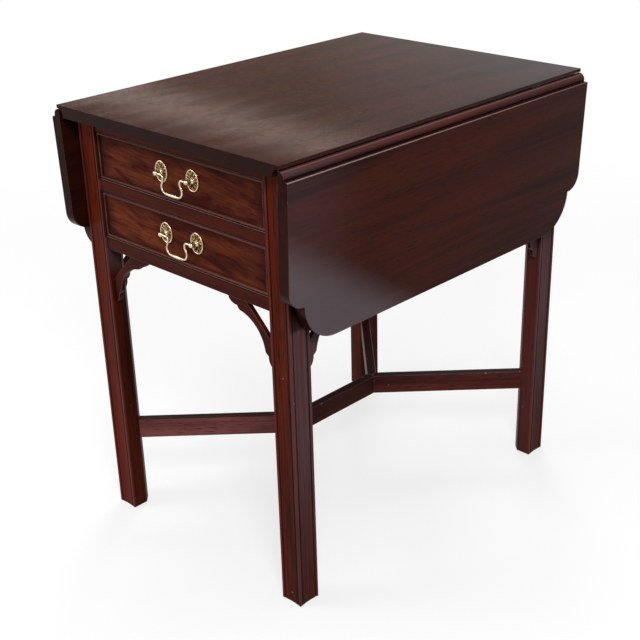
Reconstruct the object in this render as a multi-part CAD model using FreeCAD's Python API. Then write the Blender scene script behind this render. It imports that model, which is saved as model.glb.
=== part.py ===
import FreeCAD, Part
import math
import os

V = FreeCAD.Vector
X = V(1, 0, 0)
Y = V(0, 1, 0)
Z = V(0, 0, 1)

# A drop-leaf side table in millimetres. +X is the right side, -Y the drawer front and +Z up; the
# origin is on the floor under the middle. Pieces on the right are made first and mirrored to the left.

# Overall
table_height = 711.0
top_width = 482.0
top_depth = 686.0
board_thickness = 18.5
overrun = 5.0

# Rule joint between the top and a leaf: the top carries the lip and hollow, the leaf the round
lip_thickness = 5.3
lip_reach = 2.1
pin_depth = 17.0
joint_gap = 1.5
leaf_gap = 0.5
leaf_drop = 246.0
leaf_hang_degrees = 1.9
leaf_small_radius = 27.0
leaf_large_radius = 62.0
leaf_step = 2.0

# Leaf hinges
hinge_inset = 130.0
hinge_length = 36.0
hinge_width = 38.0
hinge_plate = 1.6
knuckle_radius = 3.0
knuckle_gap = 0.4
hinge_pin_radius = 1.25
pin_clearance = 0.05
screw_length = 12.0
screw_radius = 1.6
screw_head_radius = 3.0
screw_head_height = 1.4
screw_near_row = 18.0
screw_far_row = 29.0
screw_spread = 12.0

# Legs
leg_width = 39.0
side_overhang = 16.5
front_overhang = 23.0
leg_chamfer = 12.0
leg_bead = 5.2
leg_bead_fall = 0.6
leg_quirk = 1.2
leg_quirk_depth = 1.6
leg_hollow = 1.5

# Case frame
apron_height = 207.5
apron_thickness = 24.0
face_setback = 2.5
bottom_rail = 21.5
middle_rail = 21.5
drawer_opening = 72.6
tenon_length = 12.0
tenon_shoulder = 6.0

# Corner brackets, drawn as shares of their size outward from the leg and downward from the rail
bracket_size = 93.0
bracket_thickness = 7.5
bracket_setback = 6.6
bracket_tip_shares = (0.984, 0.059)
bracket_lobe_shares = (0.93, 0.108)
bracket_cusp_shares = (0.804, 0.14)
bracket_scallop_shares = (0.785, 0.172)
bracket_shoulder_shares = (0.745, 0.208)
bracket_arch_shares = (0.387, 0.387)
bracket_inner_end_share = 0.6
bracket_inner_arch_shares = (0.296, 0.296)

# Stretcher
stretcher_bottom = 130.0
stretcher_height = 34.0
stretcher_thickness = 16.0
stretcher_tenon = 8.0

# Drawers
side_gap = 3.0
front_gap = 1.0
front_thickness = 17.0
drawer_rear_room = 43.5
bead_width = 3.5
bead_proud = 3.0
bead_depth = 5.0
bead_round_share = 0.45
box_inset = 1.0
box_thickness = 10.0
box_height = 62.0
running_gap = 0.3
tail_count = 3
tail_length = 11.0
tail_width = 13.0
tail_flare_share = 0.75
groove_depth = 4.0
bottom_thickness = 5.0
bottom_lift = 8.0
back_inset = 8.0
back_drop = 4.0
runner_width = 40.0
guide_height = 25.0
guide_clearance = 0.8
stop_length = 12.0
stop_height = 20.0

# Drawer pulls
post_spacing = 68.5
pull_raise = 4.7
ball_reach = 11.5
ball_radius = 4.0
post_neck_radius = 2.4
post_shank_radius = 2.0
nut_radius = 4.0
nut_thickness = 3.0
roundel_width = 27.0
roundel_height = 33.0
roundel_rim = 2.2
roundel_rim_height = 2.2
roundel_web = 1.0
roundel_hub_radius = 4.6
roundel_hub_height = 1.6
roundel_hole_shares = (
    (0.36, 0.42, 0.2),
    (0.0, 0.62, 0.14),
    (0.56, 0.0, 0.17),
    (0.33, -0.46, 0.26),
)
bail_neck = 18.7
bail_bend_radius = 5.3
bail_swan_radius = 12.0
bail_swan_degrees = 35.0
bail_corner_radius = 9.5
bail_wire_radius = 1.6
bail_grip_radius = 2.5
bail_pin_gap = 1.0
bail_end_gap = 0.3

# Fly supports under the leaves
fly_length = 150.0
fly_height = 60.0
fly_thickness = 15.0
fly_axis_y = 75.0
fly_gap = 1.0
fly_top_gap = 0.5
fly_end_gap = 3.0
fly_scoop_radius = 22.0
fly_block_length = 60.0
fly_fingers = 5
fly_finger_gap = 0.3
fly_round_gap = 0.4
fly_pin_radius = 2.5

# Places that follow from the sizes
underside = table_height - board_thickness
leg_x = top_width / 2 - side_overhang
leg_y = top_depth / 2 - front_overhang
inner_x = leg_x - leg_width
inner_y = leg_y - leg_width
apron_bottom = underside - apron_height
apron_outer = leg_x - face_setback
apron_inner = apron_outer - apron_thickness
rail_front = -(leg_y - face_setback)
rear_apron_y = (leg_y - face_setback - apron_thickness, leg_y - face_setback)
lower_opening = apron_bottom + bottom_rail
upper_opening = lower_opening + drawer_opening + middle_rail
top_rail_bottom = upper_opening + drawer_opening
pin_x = top_width / 2 - lip_reach
pin_z = table_height - pin_depth
cove_radius = pin_depth - lip_thickness
leaf_round = cove_radius - joint_gap
leaf_shoulder = lip_reach + leaf_gap
leaf_behind = board_thickness - pin_depth
hinge_places = (-(top_depth / 2 - hinge_inset), top_depth / 2 - hinge_inset)
face_y = rail_front + bead_proud
front_back = face_y + front_thickness
box_end = rear_apron_y[0] - drawer_rear_room
front_half = inner_x - side_gap
box_half = front_half - box_inset
ball_y = face_y - ball_reach
post_x = post_spacing / 2


def block(x0, x1, y0, y1, z0, z1):
    """A box between two opposite corners."""
    return Part.makeBox(x1 - x0, y1 - y0, z1 - z0, V(x0, y0, z0))


def rod(radius, start, end):
    """A round bar from one point to another."""
    run = end - start
    return Part.makeCylinder(radius, run.Length, start, run)


def prism(points, push):
    """A straight-sided outline pushed along a vector."""
    return Part.Face(Part.makePolygon(points + points[:1])).extrude(push)


def arc(start, middle, end):
    """The edge of the circle through three points."""
    return Part.Arc(start, middle, end).toShape()


def line(start, end):
    """A straight edge."""
    return Part.makeLine(start, end)


def joined(solids):
    """One solid from touching pieces."""
    return solids[0].fuse(solids[1:]).removeSplitter()


def left_of(shape):
    """The mirror image on the other side of the table."""
    return shape.mirror(V(), X)


def behind(shape):
    """The mirror image at the other end of the table."""
    return shape.mirror(V(), Y)


def save(name, *solids):
    """Writes one node, a single solid or a group of separate ones."""
    shape = solids[0] if len(solids) == 1 else Part.makeCompound(list(solids))
    shape.exportStep("parts/" + name + ".step")


def save_pair(name, right):
    """Writes a right-hand piece and its left-hand mirror image."""
    save(name + "_right", right)
    save(name + "_left", left_of(right))


def screw(start, inward):
    """A countersunk screw with its head flush at start."""
    head = Part.makeCone(screw_head_radius, screw_radius, screw_head_height, start, inward)
    return joined([head, rod(screw_radius, start, start + inward * screw_length)])


# Joinery shared by the pieces that meet
def rail_tenon(y0, y1, z0, z1):
    """The right-hand tenon of a rail that runs across the table."""
    return block(inner_x, inner_x + tenon_length, y0 + tenon_shoulder, y1 - tenon_shoulder,
                 z0 + tenon_shoulder, z1 - tenon_shoulder)


def apron_tenon():
    """The rear tenon of the right side apron."""
    return block(apron_inner + tenon_shoulder, apron_outer - tenon_shoulder, inner_y, inner_y + tenon_length,
                 apron_bottom + tenon_shoulder, underside - tenon_shoulder)


def diagonal_tenon():
    """The tenon of the rear right stretcher diagonal, square to the leg's chamfer."""
    half = stretcher_tenon / 2
    tenon = block(0, tenon_length, -half, half, stretcher_bottom + tenon_shoulder,
                  stretcher_bottom + stretcher_height - tenon_shoulder)
    tenon.rotate(V(), Z, 45)
    tenon.translate(V(inner_x + leg_chamfer / 2, inner_y + leg_chamfer / 2, 0))
    return tenon


front_rails = {
    "front_rail_bottom": (apron_bottom, lower_opening),
    "front_rail_middle": (lower_opening + drawer_opening, upper_opening),
    "front_rail_top": (top_rail_bottom, underside),
}


# Legs
def moulded_face(start, along, inward):
    """One moulded face of a leg: a bead, a quirk, a shallow hollow, then a quirk and a bead again."""
    def at(distance, depth):
        return start + along * distance + inward * depth

    inner_edge = leg_bead + leg_quirk
    hollow_end = leg_width - inner_edge
    return [
        arc(at(0, 0), at(leg_bead / 2, leg_bead_fall / 4), at(leg_bead, leg_bead_fall)),
        line(at(leg_bead, leg_bead_fall), at(leg_bead, leg_quirk_depth)),
        line(at(leg_bead, leg_quirk_depth), at(inner_edge, leg_quirk_depth)),
        line(at(inner_edge, leg_quirk_depth), at(inner_edge, leg_bead_fall)),
        arc(at(inner_edge, leg_bead_fall), at(leg_width / 2, leg_hollow), at(hollow_end, leg_bead_fall)),
        line(at(hollow_end, leg_bead_fall), at(hollow_end, leg_quirk_depth)),
        line(at(hollow_end, leg_quirk_depth), at(leg_width - leg_bead, leg_quirk_depth)),
        line(at(leg_width - leg_bead, leg_quirk_depth), at(leg_width - leg_bead, leg_bead_fall)),
        arc(at(leg_width - leg_bead, leg_bead_fall), at(leg_width - leg_bead / 2, leg_bead_fall / 4),
            at(leg_width, 0)),
    ]


def leg_blank():
    """The rear right leg before its mortises, moulded outside and chamfered inside below the apron."""
    side = moulded_face(V(leg_x, inner_y, 0), Y, -X)
    back = moulded_face(V(leg_x, leg_y, 0), -X, -Y)
    corner = V(inner_x, inner_y, 0)
    inside = [line(V(inner_x, leg_y, 0), corner), line(corner, V(leg_x, inner_y, 0))]
    post = Part.Face(Part.Wire(side + back + inside)).extrude(Z * underside)
    chamfer = prism([
        V(inner_x + leg_chamfer, inner_y, 0),
        V(inner_x, inner_y + leg_chamfer, 0),
        V(inner_x - overrun, inner_y + leg_chamfer, 0),
        V(inner_x - overrun, inner_y - overrun, 0),
        V(inner_x + leg_chamfer, inner_y - overrun, 0),
    ], Z * apron_bottom)
    return post.cut(chamfer).cut([apron_tenon(), diagonal_tenon()])


def make_legs():
    blank = leg_blank()
    rear = blank.cut(rail_tenon(*rear_apron_y, apron_bottom, underside))
    front_tenons = [rail_tenon(rail_front, -inner_y, z0, z1) for z0, z1 in front_rails.values()]
    save_pair("leg_rear", rear)
    save_pair("leg_front", behind(blank).cut(front_tenons))


# Case frame
def cross_rail(y0, y1, z0, z1):
    """A rail between the left and right legs, tenoned at both ends."""
    tenon = rail_tenon(y0, y1, z0, z1)
    return joined([block(-inner_x, inner_x, y0, y1, z0, z1), tenon, left_of(tenon)])


def make_case():
    for name, (z0, z1) in front_rails.items():
        save(name, cross_rail(rail_front, -inner_y, z0, z1))
    save("rear_apron", cross_rail(*rear_apron_y, apron_bottom, underside))
    tenon = apron_tenon()
    board = block(apron_inner, apron_outer, -inner_y, inner_y, apron_bottom, underside)
    save_pair("side_apron", joined([board, tenon, behind(tenon)]).cut(fly_pocket()))


def bracket(corner, out, inward):
    """A fretted bracket in the corner under a rail: out runs from the leg, inward is its thickness."""
    def at(shares):
        return corner + out * (shares[0] * bracket_size) - Z * (shares[1] * bracket_size)

    def across(shares):
        return at((shares[1], shares[0]))

    rail_end, leg_end = at((1, 0)), at((0, 1))
    inner_rail, inner_leg = at((bracket_inner_end_share, 0)), at((0, bracket_inner_end_share))
    edges = [
        line(rail_end, at(bracket_tip_shares)),
        arc(at(bracket_tip_shares), at(bracket_lobe_shares), at(bracket_cusp_shares)),
        arc(at(bracket_cusp_shares), at(bracket_scallop_shares), at(bracket_shoulder_shares)),
        arc(at(bracket_shoulder_shares), at(bracket_arch_shares), across(bracket_shoulder_shares)),
        arc(across(bracket_shoulder_shares), across(bracket_scallop_shares), across(bracket_cusp_shares)),
        arc(across(bracket_cusp_shares), across(bracket_lobe_shares), across(bracket_tip_shares)),
        line(across(bracket_tip_shares), leg_end),
        line(leg_end, inner_leg),
        arc(inner_leg, at(bracket_inner_arch_shares), inner_rail),
        line(inner_rail, rail_end),
    ]
    return Part.Face(Part.Wire(edges)).extrude(inward * bracket_thickness)


def make_brackets():
    across = bracket(V(inner_x, leg_y - bracket_setback, apron_bottom), -X, -Y)
    along = bracket(V(leg_x - bracket_setback, inner_y, apron_bottom), -Y, -X)
    save_pair("bracket_rear", across)
    save_pair("bracket_front", behind(across))
    save_pair("bracket_side_rear", along)
    save_pair("bracket_side_front", behind(along))


def make_stretchers():
    """A centre bar that forks at 45 degrees to every leg, mitred where the three bars meet."""
    half = stretcher_thickness / 2
    fork_y = inner_y - inner_x
    corner_y = fork_y - half * math.tan(math.radians(22.5))
    crotch_y = fork_y + half * math.sqrt(2)
    foot = V(inner_x + leg_chamfer / 2, inner_y + leg_chamfer / 2, stretcher_bottom)
    aside = V(half, -half, 0) / math.sqrt(2)
    rise = Z * stretcher_height

    def at(x, y):
        return V(x, y, stretcher_bottom)

    centre = prism([
        at(half, -corner_y), at(half, corner_y), at(0, fork_y),
        at(-half, corner_y), at(-half, -corner_y), at(0, -fork_y),
    ], rise)
    diagonal = prism([at(0, fork_y), at(half, corner_y), foot + aside, foot - aside, at(0, crotch_y)], rise)
    diagonal = joined([diagonal, diagonal_tenon()])
    save("stretcher_centre", centre)
    save_pair("stretcher_rear", diagonal)
    save_pair("stretcher_front", behind(diagonal))


# Drawers
def make_runners():
    """Rebated runners that carry and guide the drawers, kickers above, and stops behind."""
    runners = []
    stops = []
    guide_x = box_half + guide_clearance
    for name in ("front_rail_bottom", "front_rail_middle"):
        z0, z1 = front_rails[name]
        shelf = block(apron_inner - runner_width, apron_inner, -inner_y, inner_y, z0, z1)
        guide = block(guide_x, apron_inner, -inner_y, inner_y, z1, z1 + guide_height)
        runners.append(joined([shelf, guide]))
        stop_start = box_end + running_gap
        stops.append(block(box_half - box_thickness, box_half, stop_start, stop_start + stop_length,
                           z1, z1 + stop_height))
    kicker = block(apron_inner - runner_width, apron_inner, -inner_y, inner_y, top_rail_bottom, underside)
    save("drawer_runners", *runners, *[left_of(runner) for runner in runners])
    save("drawer_kickers", kicker, left_of(kicker))
    save("drawer_stops", *stops, *[left_of(stop) for stop in stops])


def bead_strips(z0, z1):
    """Four mitred strips of cock bead with a rounded front, left, right, bottom and top."""
    y0, y1 = face_y - bead_proud, face_y + bead_depth
    inner = front_half - bead_width
    low, high = z0 + bead_width, z1 - bead_width
    ring = block(-front_half, front_half, y0, y1, z0, z1)
    ring = ring.cut(block(-inner, inner, y0 - overrun, y1 + overrun, low, high))
    front_edges = [edge for edge in ring.Edges if edge.BoundBox.YMax < y0 + bead_proud / 2]
    ring = ring.makeFillet(bead_width * bead_round_share, front_edges)
    push = Y * (y1 - y0)

    def at(x, z):
        return V(x, y0, z)

    left = [at(-front_half, z0), at(-inner, low), at(-inner, high), at(-front_half, z1)]
    bottom = [at(-front_half, z0), at(front_half, z0), at(inner, low), at(-inner, low)]
    top = [at(-front_half, z1), at(-inner, high), at(inner, high), at(front_half, z1)]
    strips = [ring.common(prism(outline, push)) for outline in (left, bottom, top)]
    return [strips[0], left_of(strips[0]), strips[1], strips[2]]


def dovetail_tails(z0):
    """The tails on the front end of the right drawer side."""
    pitch = box_height / tail_count
    tails = []
    for index in range(tail_count):
        middle = z0 + running_gap + pitch * (index + 0.5)
        root, end = tail_width * tail_flare_share / 2, tail_width / 2
        tails.append(prism([
            V(box_half - box_thickness, front_back, middle - root),
            V(box_half - box_thickness, front_back, middle + root),
            V(box_half - box_thickness, front_back - tail_length, middle + end),
            V(box_half - box_thickness, front_back - tail_length, middle - end),
        ], X * box_thickness))
    return tails


def roundel(x, z):
    """An oval pierced plate with a raised rim and a hub, drilled for the post."""
    def oval(half_width, half_height, depth):
        tall, wide = V(x, face_y, z + half_height), V(x + half_width, face_y, z)
        first, second = (tall, wide) if half_height > half_width else (wide, tall)
        curve = Part.Ellipse(first, second, V(x, face_y, z))
        return Part.Face(Part.Wire([curve.toShape()])).extrude(-Y * depth)

    half_width, half_height = roundel_width / 2, roundel_height / 2
    rim = oval(half_width, half_height, roundel_rim_height)
    rim = rim.cut(oval(half_width - roundel_rim, half_height - roundel_rim, roundel_rim_height))
    web = oval(half_width - roundel_rim, half_height - roundel_rim, roundel_web)
    for across_share, up_share, radius_share in roundel_hole_shares:
        for side in (-1, 1):
            place = V(x + side * across_share * half_width, face_y, z + up_share * half_height)
            web = web.cut(rod(radius_share * half_width, place, place - Y * roundel_web))
    start = V(x, face_y, z)
    hub = rod(roundel_hub_radius, start, start - Y * roundel_hub_height)
    bore = rod(post_shank_radius, start, start - Y * roundel_hub_height)
    return joined([rim, web, hub]).cut(bore)


def post(x, z):
    """A ball-headed post through the drawer front, bored from its inner side for the bail."""
    inward = -X if x > 0 else X
    ball_centre = V(x, ball_y, z)
    seat = V(x, face_y - roundel_hub_height, z)
    tip = V(x, front_back + nut_thickness, z)
    solid = joined([
        Part.makeSphere(ball_radius, ball_centre),
        rod(post_neck_radius, ball_centre, seat),
        rod(post_shank_radius, seat, tip),
    ])
    bore_end = ball_centre + inward * (bail_pin_gap - bail_end_gap)
    bore = rod(bail_wire_radius + pin_clearance, bore_end, ball_centre + inward * (ball_radius + overrun))
    return solid.cut(bore)


def nut(x, z):
    """A hexagon nut on the end of a post, inside the drawer front."""
    corners = [V(x + nut_radius * math.cos(math.radians(angle)), front_back,
                 z + nut_radius * math.sin(math.radians(angle))) for angle in range(0, 360, 60)]
    start = V(x, front_back, z)
    return prism(corners, Y * nut_thickness).cut(rod(post_shank_radius, start, start + Y * nut_thickness))


def bail(z):
    """A swan-neck bail: pins into the posts, two opposed bends on each side and a swollen grip."""
    swan = math.radians(bail_swan_degrees)

    def at(x, drop):
        return V(x, ball_y, z - drop)

    def on_circle(centre, radius, degrees):
        angle = math.radians(degrees)
        return at(centre[0] + radius * math.cos(angle), centre[1] - radius * math.sin(angle))

    bend = (bail_neck + bail_bend_radius, bail_bend_radius)
    neck = (bail_neck + bail_swan_radius, bail_bend_radius)
    turn_x = neck[0] - bail_swan_radius * math.cos(swan)
    turn_drop = neck[1] + bail_swan_radius * math.sin(swan)
    corner = (turn_x - bail_corner_radius * math.cos(swan), turn_drop + bail_corner_radius * math.sin(swan))
    grip_drop = corner[1] + bail_corner_radius
    corner_middle = (bail_swan_degrees - 90) / 2
    pin_end, bend_start = at(post_x - bail_pin_gap, 0), at(bend[0], 0)
    bend_end = at(bail_neck, bail_bend_radius)
    turn, grip_end = at(turn_x, turn_drop), at(corner[0], grip_drop)
    right = [
        line(pin_end, bend_start),
        arc(bend_start, on_circle(bend, bail_bend_radius, 135), bend_end),
        arc(bend_end, on_circle(neck, bail_swan_radius, 180 + bail_swan_degrees / 2), turn),
        arc(turn, on_circle(corner, bail_corner_radius, corner_middle), grip_end),
    ]
    bottom = line(grip_end, at(-corner[0], grip_drop))
    left = [edge.mirror(V(), X) for edge in reversed(right)]
    path = Part.Wire(right + [bottom] + left)
    section = Part.Wire([Part.Circle(pin_end, X, bail_wire_radius).toShape()])
    wire = path.makePipeShell([section], True, False)
    swell = Part.Face(Part.Wire([
        arc(at(-corner[0], grip_drop - bail_wire_radius), at(0, grip_drop - bail_grip_radius),
            at(corner[0], grip_drop - bail_wire_radius)),
        line(at(corner[0], grip_drop - bail_wire_radius), at(corner[0], grip_drop)),
        line(at(corner[0], grip_drop), at(-corner[0], grip_drop)),
        line(at(-corner[0], grip_drop), at(-corner[0], grip_drop - bail_wire_radius)),
    ]))
    return joined([wire, swell.revolve(at(0, grip_drop), X, 360)])


def make_drawer(name, opening):
    """One drawer: a beaded front, a dovetailed box on a grooved bottom, and its pull."""
    z0, z1 = opening + front_gap, opening + drawer_opening - front_gap
    box_bottom = opening + running_gap
    inside = box_half - box_thickness
    tails = dovetail_tails(opening)
    bottom_z = box_bottom + bottom_lift
    bottom = block(-inside - groove_depth, inside + groove_depth, front_back - groove_depth, box_end,
                   bottom_z, bottom_z + bottom_thickness)
    back_end = box_end - back_inset
    back = block(-inside - groove_depth, inside + groove_depth, back_end - box_thickness, back_end,
                 bottom_z + bottom_thickness, box_bottom + box_height - back_drop)
    side = block(inside, box_half, front_back, box_end, box_bottom, box_bottom + box_height)
    side = joined([side] + tails).cut([bottom, back])

    pull_z = opening + drawer_opening / 2 + pull_raise
    shanks = []
    for x in (-post_x, post_x):
        shanks.append(rod(post_shank_radius, V(x, face_y, pull_z), V(x, front_back, pull_z)))
    inner = front_half - bead_width
    front = block(-front_half, front_half, face_y + bead_depth, front_back, z0, z1)
    panel = block(-inner, inner, face_y, face_y + bead_depth, z0 + bead_width, z1 - bead_width)
    front = joined([front, panel]).cut(tails + [left_of(tail) for tail in tails] + [bottom] + shanks)

    save(name + "_front", front)
    save(name + "_cock_bead", *bead_strips(z0, z1))
    save(name + "_side_right", side)
    save(name + "_side_left", left_of(side))
    save(name + "_back", back)
    save(name + "_bottom", bottom)
    save(name + "_pull_roundels", roundel(-post_x, pull_z), roundel(post_x, pull_z))
    save(name + "_pull_posts", post(-post_x, pull_z), post(post_x, pull_z))
    save(name + "_pull_nuts", nut(-post_x, pull_z), nut(post_x, pull_z))
    save(name + "_bail", bail(pull_z))


# Fly supports
def fly_levels():
    """The heights between the fingers of the fly's knuckle, from the bottom up."""
    top = underside - fly_top_gap
    return [top - fly_height * (1 - index / fly_fingers) for index in range(fly_fingers + 1)]


def fly_axis(z):
    """A point on the fly's upright pin."""
    return V(apron_outer - fly_thickness / 2, fly_axis_y, z)


def fly_pocket():
    """The recess in the outside of the side apron that holds the folded fly and its block."""
    back = apron_outer - fly_thickness - fly_gap
    floor = fly_levels()[0] - fly_gap
    near, far = fly_axis_y - fly_length - fly_end_gap, fly_axis_y + fly_block_length
    return block(back, apron_outer + overrun, near, far, floor, underside + overrun)


def finger_spaces(first):
    """Round clearances, every other level, where the mating fingers turn."""
    levels = fly_levels()
    radius = fly_thickness / 2 + fly_round_gap
    spaces = []
    for index in range(first, fly_fingers, 2):
        low = levels[index] - (fly_finger_gap if index > 0 else overrun)
        high = levels[index + 1] + (fly_finger_gap if index < fly_fingers - 1 else overrun)
        spaces.append(rod(radius, fly_axis(low), fly_axis(high)))
    return spaces


def make_flies():
    levels = fly_levels()
    low, high = fly_axis(levels[0]), fly_axis(levels[-1])
    barrel = rod(fly_thickness / 2, low, high)
    tip_y = fly_axis_y - fly_length
    arm = block(apron_outer - fly_thickness, apron_outer, tip_y, fly_axis_y, levels[0], levels[-1])
    arm = joined([arm, barrel]).cut(finger_spaces(0) + [rod(fly_pin_radius + pin_clearance, low, high)])
    scoop = rod(fly_scoop_radius, V(apron_inner, tip_y, levels[0]), V(leg_x, tip_y, levels[0]))
    fixed = block(apron_outer - fly_thickness - fly_gap, apron_outer,
                  fly_axis_y, fly_axis_y + fly_block_length, levels[0] - fly_gap, underside)
    fixed = joined([fixed, barrel]).cut(finger_spaces(1) + [rod(fly_pin_radius, low, high)])
    pin = rod(fly_pin_radius, low, high)
    save_pair("fly_support", arm.cut(scoop))
    save("fly_blocks", fixed, left_of(fixed))
    save("fly_pins", pin, left_of(pin))


# Top, leaves and hinges
def pin_line(y):
    """A point on the right leaf's turning axis."""
    return V(pin_x, y, pin_z)


def knuckle_ends(y):
    """The four ends of a hinge's three knuckles along the axis, about its middle."""
    half, third = hinge_width / 2, hinge_width / 6
    return y - half, y - third, y + third, y + half


def top_plate_blank(y):
    half = hinge_width / 2
    return block(pin_x - hinge_length, pin_x, y - half, y + half, underside, underside + hinge_plate)


def leaf_plate_blank(y):
    half = hinge_width / 2
    face = pin_x - leaf_behind
    return block(face, face + hinge_plate, y - half, y + half, pin_z - hinge_length, pin_z)


def screw_places(y):
    """Two screws near the knuckle and one beyond, as distances from the axis and places along it."""
    return ((screw_near_row, y - screw_spread), (screw_near_row, y + screw_spread), (screw_far_row, y))


def top_screws(y):
    return [screw(V(pin_x - reach, place, underside), Z) for reach, place in screw_places(y)]


def leaf_screws(y):
    return [screw(V(pin_x - leaf_behind, place, pin_z - reach), X) for reach, place in screw_places(y)]


def top_plate(y):
    """The hinge half under the top, with the two outer knuckles."""
    y0, y1, y2, y3 = knuckle_ends(y)
    wide = rod(knuckle_radius + knuckle_gap, pin_line(y1), pin_line(y2))
    plate = joined([
        top_plate_blank(y).cut(wide),
        rod(knuckle_radius, pin_line(y0), pin_line(y1)),
        rod(knuckle_radius, pin_line(y2), pin_line(y3)),
    ])
    return plate.cut([rod(hinge_pin_radius, pin_line(y0), pin_line(y3))] + top_screws(y))


def leaf_plate(y):
    """The hinge half on the leaf, with the middle knuckle."""
    y0, y1, y2, y3 = knuckle_ends(y)
    wide = [
        rod(knuckle_radius + knuckle_gap, pin_line(y0 - knuckle_gap), pin_line(y1 + knuckle_gap)),
        rod(knuckle_radius + knuckle_gap, pin_line(y2 - knuckle_gap), pin_line(y3 + knuckle_gap)),
    ]
    middle = rod(knuckle_radius, pin_line(y1 + knuckle_gap), pin_line(y2 - knuckle_gap))
    plate = joined([leaf_plate_blank(y).cut(wide), middle])
    return plate.cut([rod(hinge_pin_radius + pin_clearance, pin_line(y0), pin_line(y3))] + leaf_screws(y))


def hinge_notch(y):
    """The room in the leaf's round edge for the knuckles and the plate under the top."""
    half = hinge_width / 2 + knuckle_gap
    face = pin_x - leaf_behind
    slot = block(face - overrun, face + hinge_plate + knuckle_gap, y - half, y + half,
                 pin_z, pin_z + leaf_round + overrun)
    return slot.fuse(rod(knuckle_radius + knuckle_gap, pin_line(y - half), pin_line(y + half)))


def leaf_section():
    """The leaf's section, hanging plumb: a round about the hinge axis, a shoulder and a flat board."""
    def at(out, drop):
        return V(pin_x + out, -top_depth / 2, pin_z - drop)

    shoulder_out = math.sqrt(leaf_round ** 2 - leaf_shoulder ** 2)
    inner_rise = math.sqrt(leaf_round ** 2 - leaf_behind ** 2)
    crown = leaf_round / math.sqrt(2)
    edges = [
        line(at(pin_depth, leaf_drop), at(pin_depth, leaf_shoulder)),
        line(at(pin_depth, leaf_shoulder), at(shoulder_out, leaf_shoulder)),
        arc(at(shoulder_out, leaf_shoulder), at(crown, -crown), at(-leaf_behind, -inner_rise)),
        line(at(-leaf_behind, -inner_rise), at(-leaf_behind, leaf_drop)),
        line(at(-leaf_behind, leaf_drop), at(pin_depth, leaf_drop)),
    ]
    return Part.Face(Part.Wire(edges)).extrude(Y * top_depth)


def leaf_outline():
    """The leaf seen from the side: straight ends, then a small round, a step and a large round below."""
    half = top_depth / 2
    step_drop = leaf_drop - leaf_large_radius
    round_start = step_drop - leaf_small_radius
    small_end = half - leaf_small_radius
    large_start = small_end - leaf_step
    large_end = large_start - leaf_large_radius
    small_bulge = leaf_small_radius / math.sqrt(2)
    large_bulge = leaf_large_radius / math.sqrt(2)

    def at(y, drop):
        return V(pin_x - board_thickness, y, pin_z - drop)

    def end_edges(side):
        return [
            line(at(side * half, -pin_depth), at(side * half, round_start)),
            arc(at(side * half, round_start),
                at(side * (small_end + small_bulge), round_start + small_bulge),
                at(side * small_end, step_drop)),
            line(at(side * small_end, step_drop), at(side * large_start, step_drop)),
            arc(at(side * large_start, step_drop),
                at(side * (large_end + large_bulge), step_drop + large_bulge),
                at(side * large_end, leaf_drop)),
        ]

    bottom = line(at(large_end, leaf_drop), at(-large_end, leaf_drop))
    top = line(at(-half, -pin_depth), at(half, -pin_depth))
    edges = end_edges(1) + [bottom] + list(reversed(end_edges(-1))) + [top]
    return Part.Face(Part.Wire(edges)).extrude(X * (board_thickness + pin_depth + overrun))


def hanging(shape):
    """Turns a piece of the right leaf from plumb to where the leaf's weight lets it hang."""
    turned = shape.copy()
    turned.rotate(pin_line(0), Y, leaf_hang_degrees)
    return turned


def make_top():
    """The fixed board, lipped and hollowed along both long edges."""
    def at(x, z):
        return V(x, -top_depth / 2, z)

    lip_z = table_height - lip_thickness
    edge = top_width / 2
    bay = cove_radius / math.sqrt(2)
    right = [
        line(at(edge, table_height), at(edge, lip_z)),
        line(at(edge, lip_z), at(pin_x, lip_z)),
        arc(at(pin_x, lip_z), at(pin_x - bay, pin_z + bay), at(pin_x - cove_radius, pin_z)),
        line(at(pin_x - cove_radius, pin_z), at(pin_x - cove_radius, underside)),
    ]
    bottom = line(at(pin_x - cove_radius, underside), at(cove_radius - pin_x, underside))
    left = [piece.mirror(V(), X) for piece in reversed(right)]
    upper = line(at(-edge, table_height), at(edge, table_height))
    board = Part.Face(Part.Wire(right + [bottom] + left + [upper])).extrude(Y * top_depth)
    cuts = []
    for y in hinge_places:
        cuts += [top_plate_blank(y)] + top_screws(y)
    save("top_board", board.cut(cuts + [left_of(cut) for cut in cuts]))


def make_leaves():
    leaf = leaf_section().common(leaf_outline())
    plates, screws = [], []
    for y in hinge_places:
        leaf = leaf.cut([hinge_notch(y), leaf_plate_blank(y)] + leaf_screws(y))
        plates.append(hanging(leaf_plate(y)))
        screws += [hanging(piece) for piece in leaf_screws(y)]
    save_pair("leaf", hanging(leaf))
    save_pair("leaf_hinge_plates", Part.makeCompound(plates))
    save_pair("leaf_hinge_screws", Part.makeCompound(screws))


def make_fixed_hinges():
    plates, pins, screws = [], [], []
    for y in hinge_places:
        plates.append(top_plate(y))
        pins.append(rod(hinge_pin_radius, pin_line(y - hinge_width / 2), pin_line(y + hinge_width / 2)))
        screws += top_screws(y)
    for name, pieces in (("hinge_plates_top", plates), ("hinge_pins", pins), ("hinge_screws_top", screws)):
        save(name, *pieces, *[left_of(piece) for piece in pieces])


os.makedirs("parts", exist_ok=True)
make_top()
make_legs()
make_case()
make_brackets()
make_stretchers()
make_runners()
make_drawer("upper_drawer", upper_opening)
make_drawer("lower_drawer", lower_opening)
make_flies()
make_leaves()
make_fixed_hinges()
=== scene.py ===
# %% [markdown]
# # Dressing a drop-leaf side table
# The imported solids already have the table's shapes and joints, so this lesson only adds what the eye
# needs: a camera and studio, mahogany with its grain and worn edges, and cast brass pulls.
# All lengths are metres in the solids' own frame: +X is the right leaf, -Y the drawers, +Z up.

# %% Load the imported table
import math

import bmesh
import bpy
import numpy as np
from mathutils import Matrix, Vector


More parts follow.
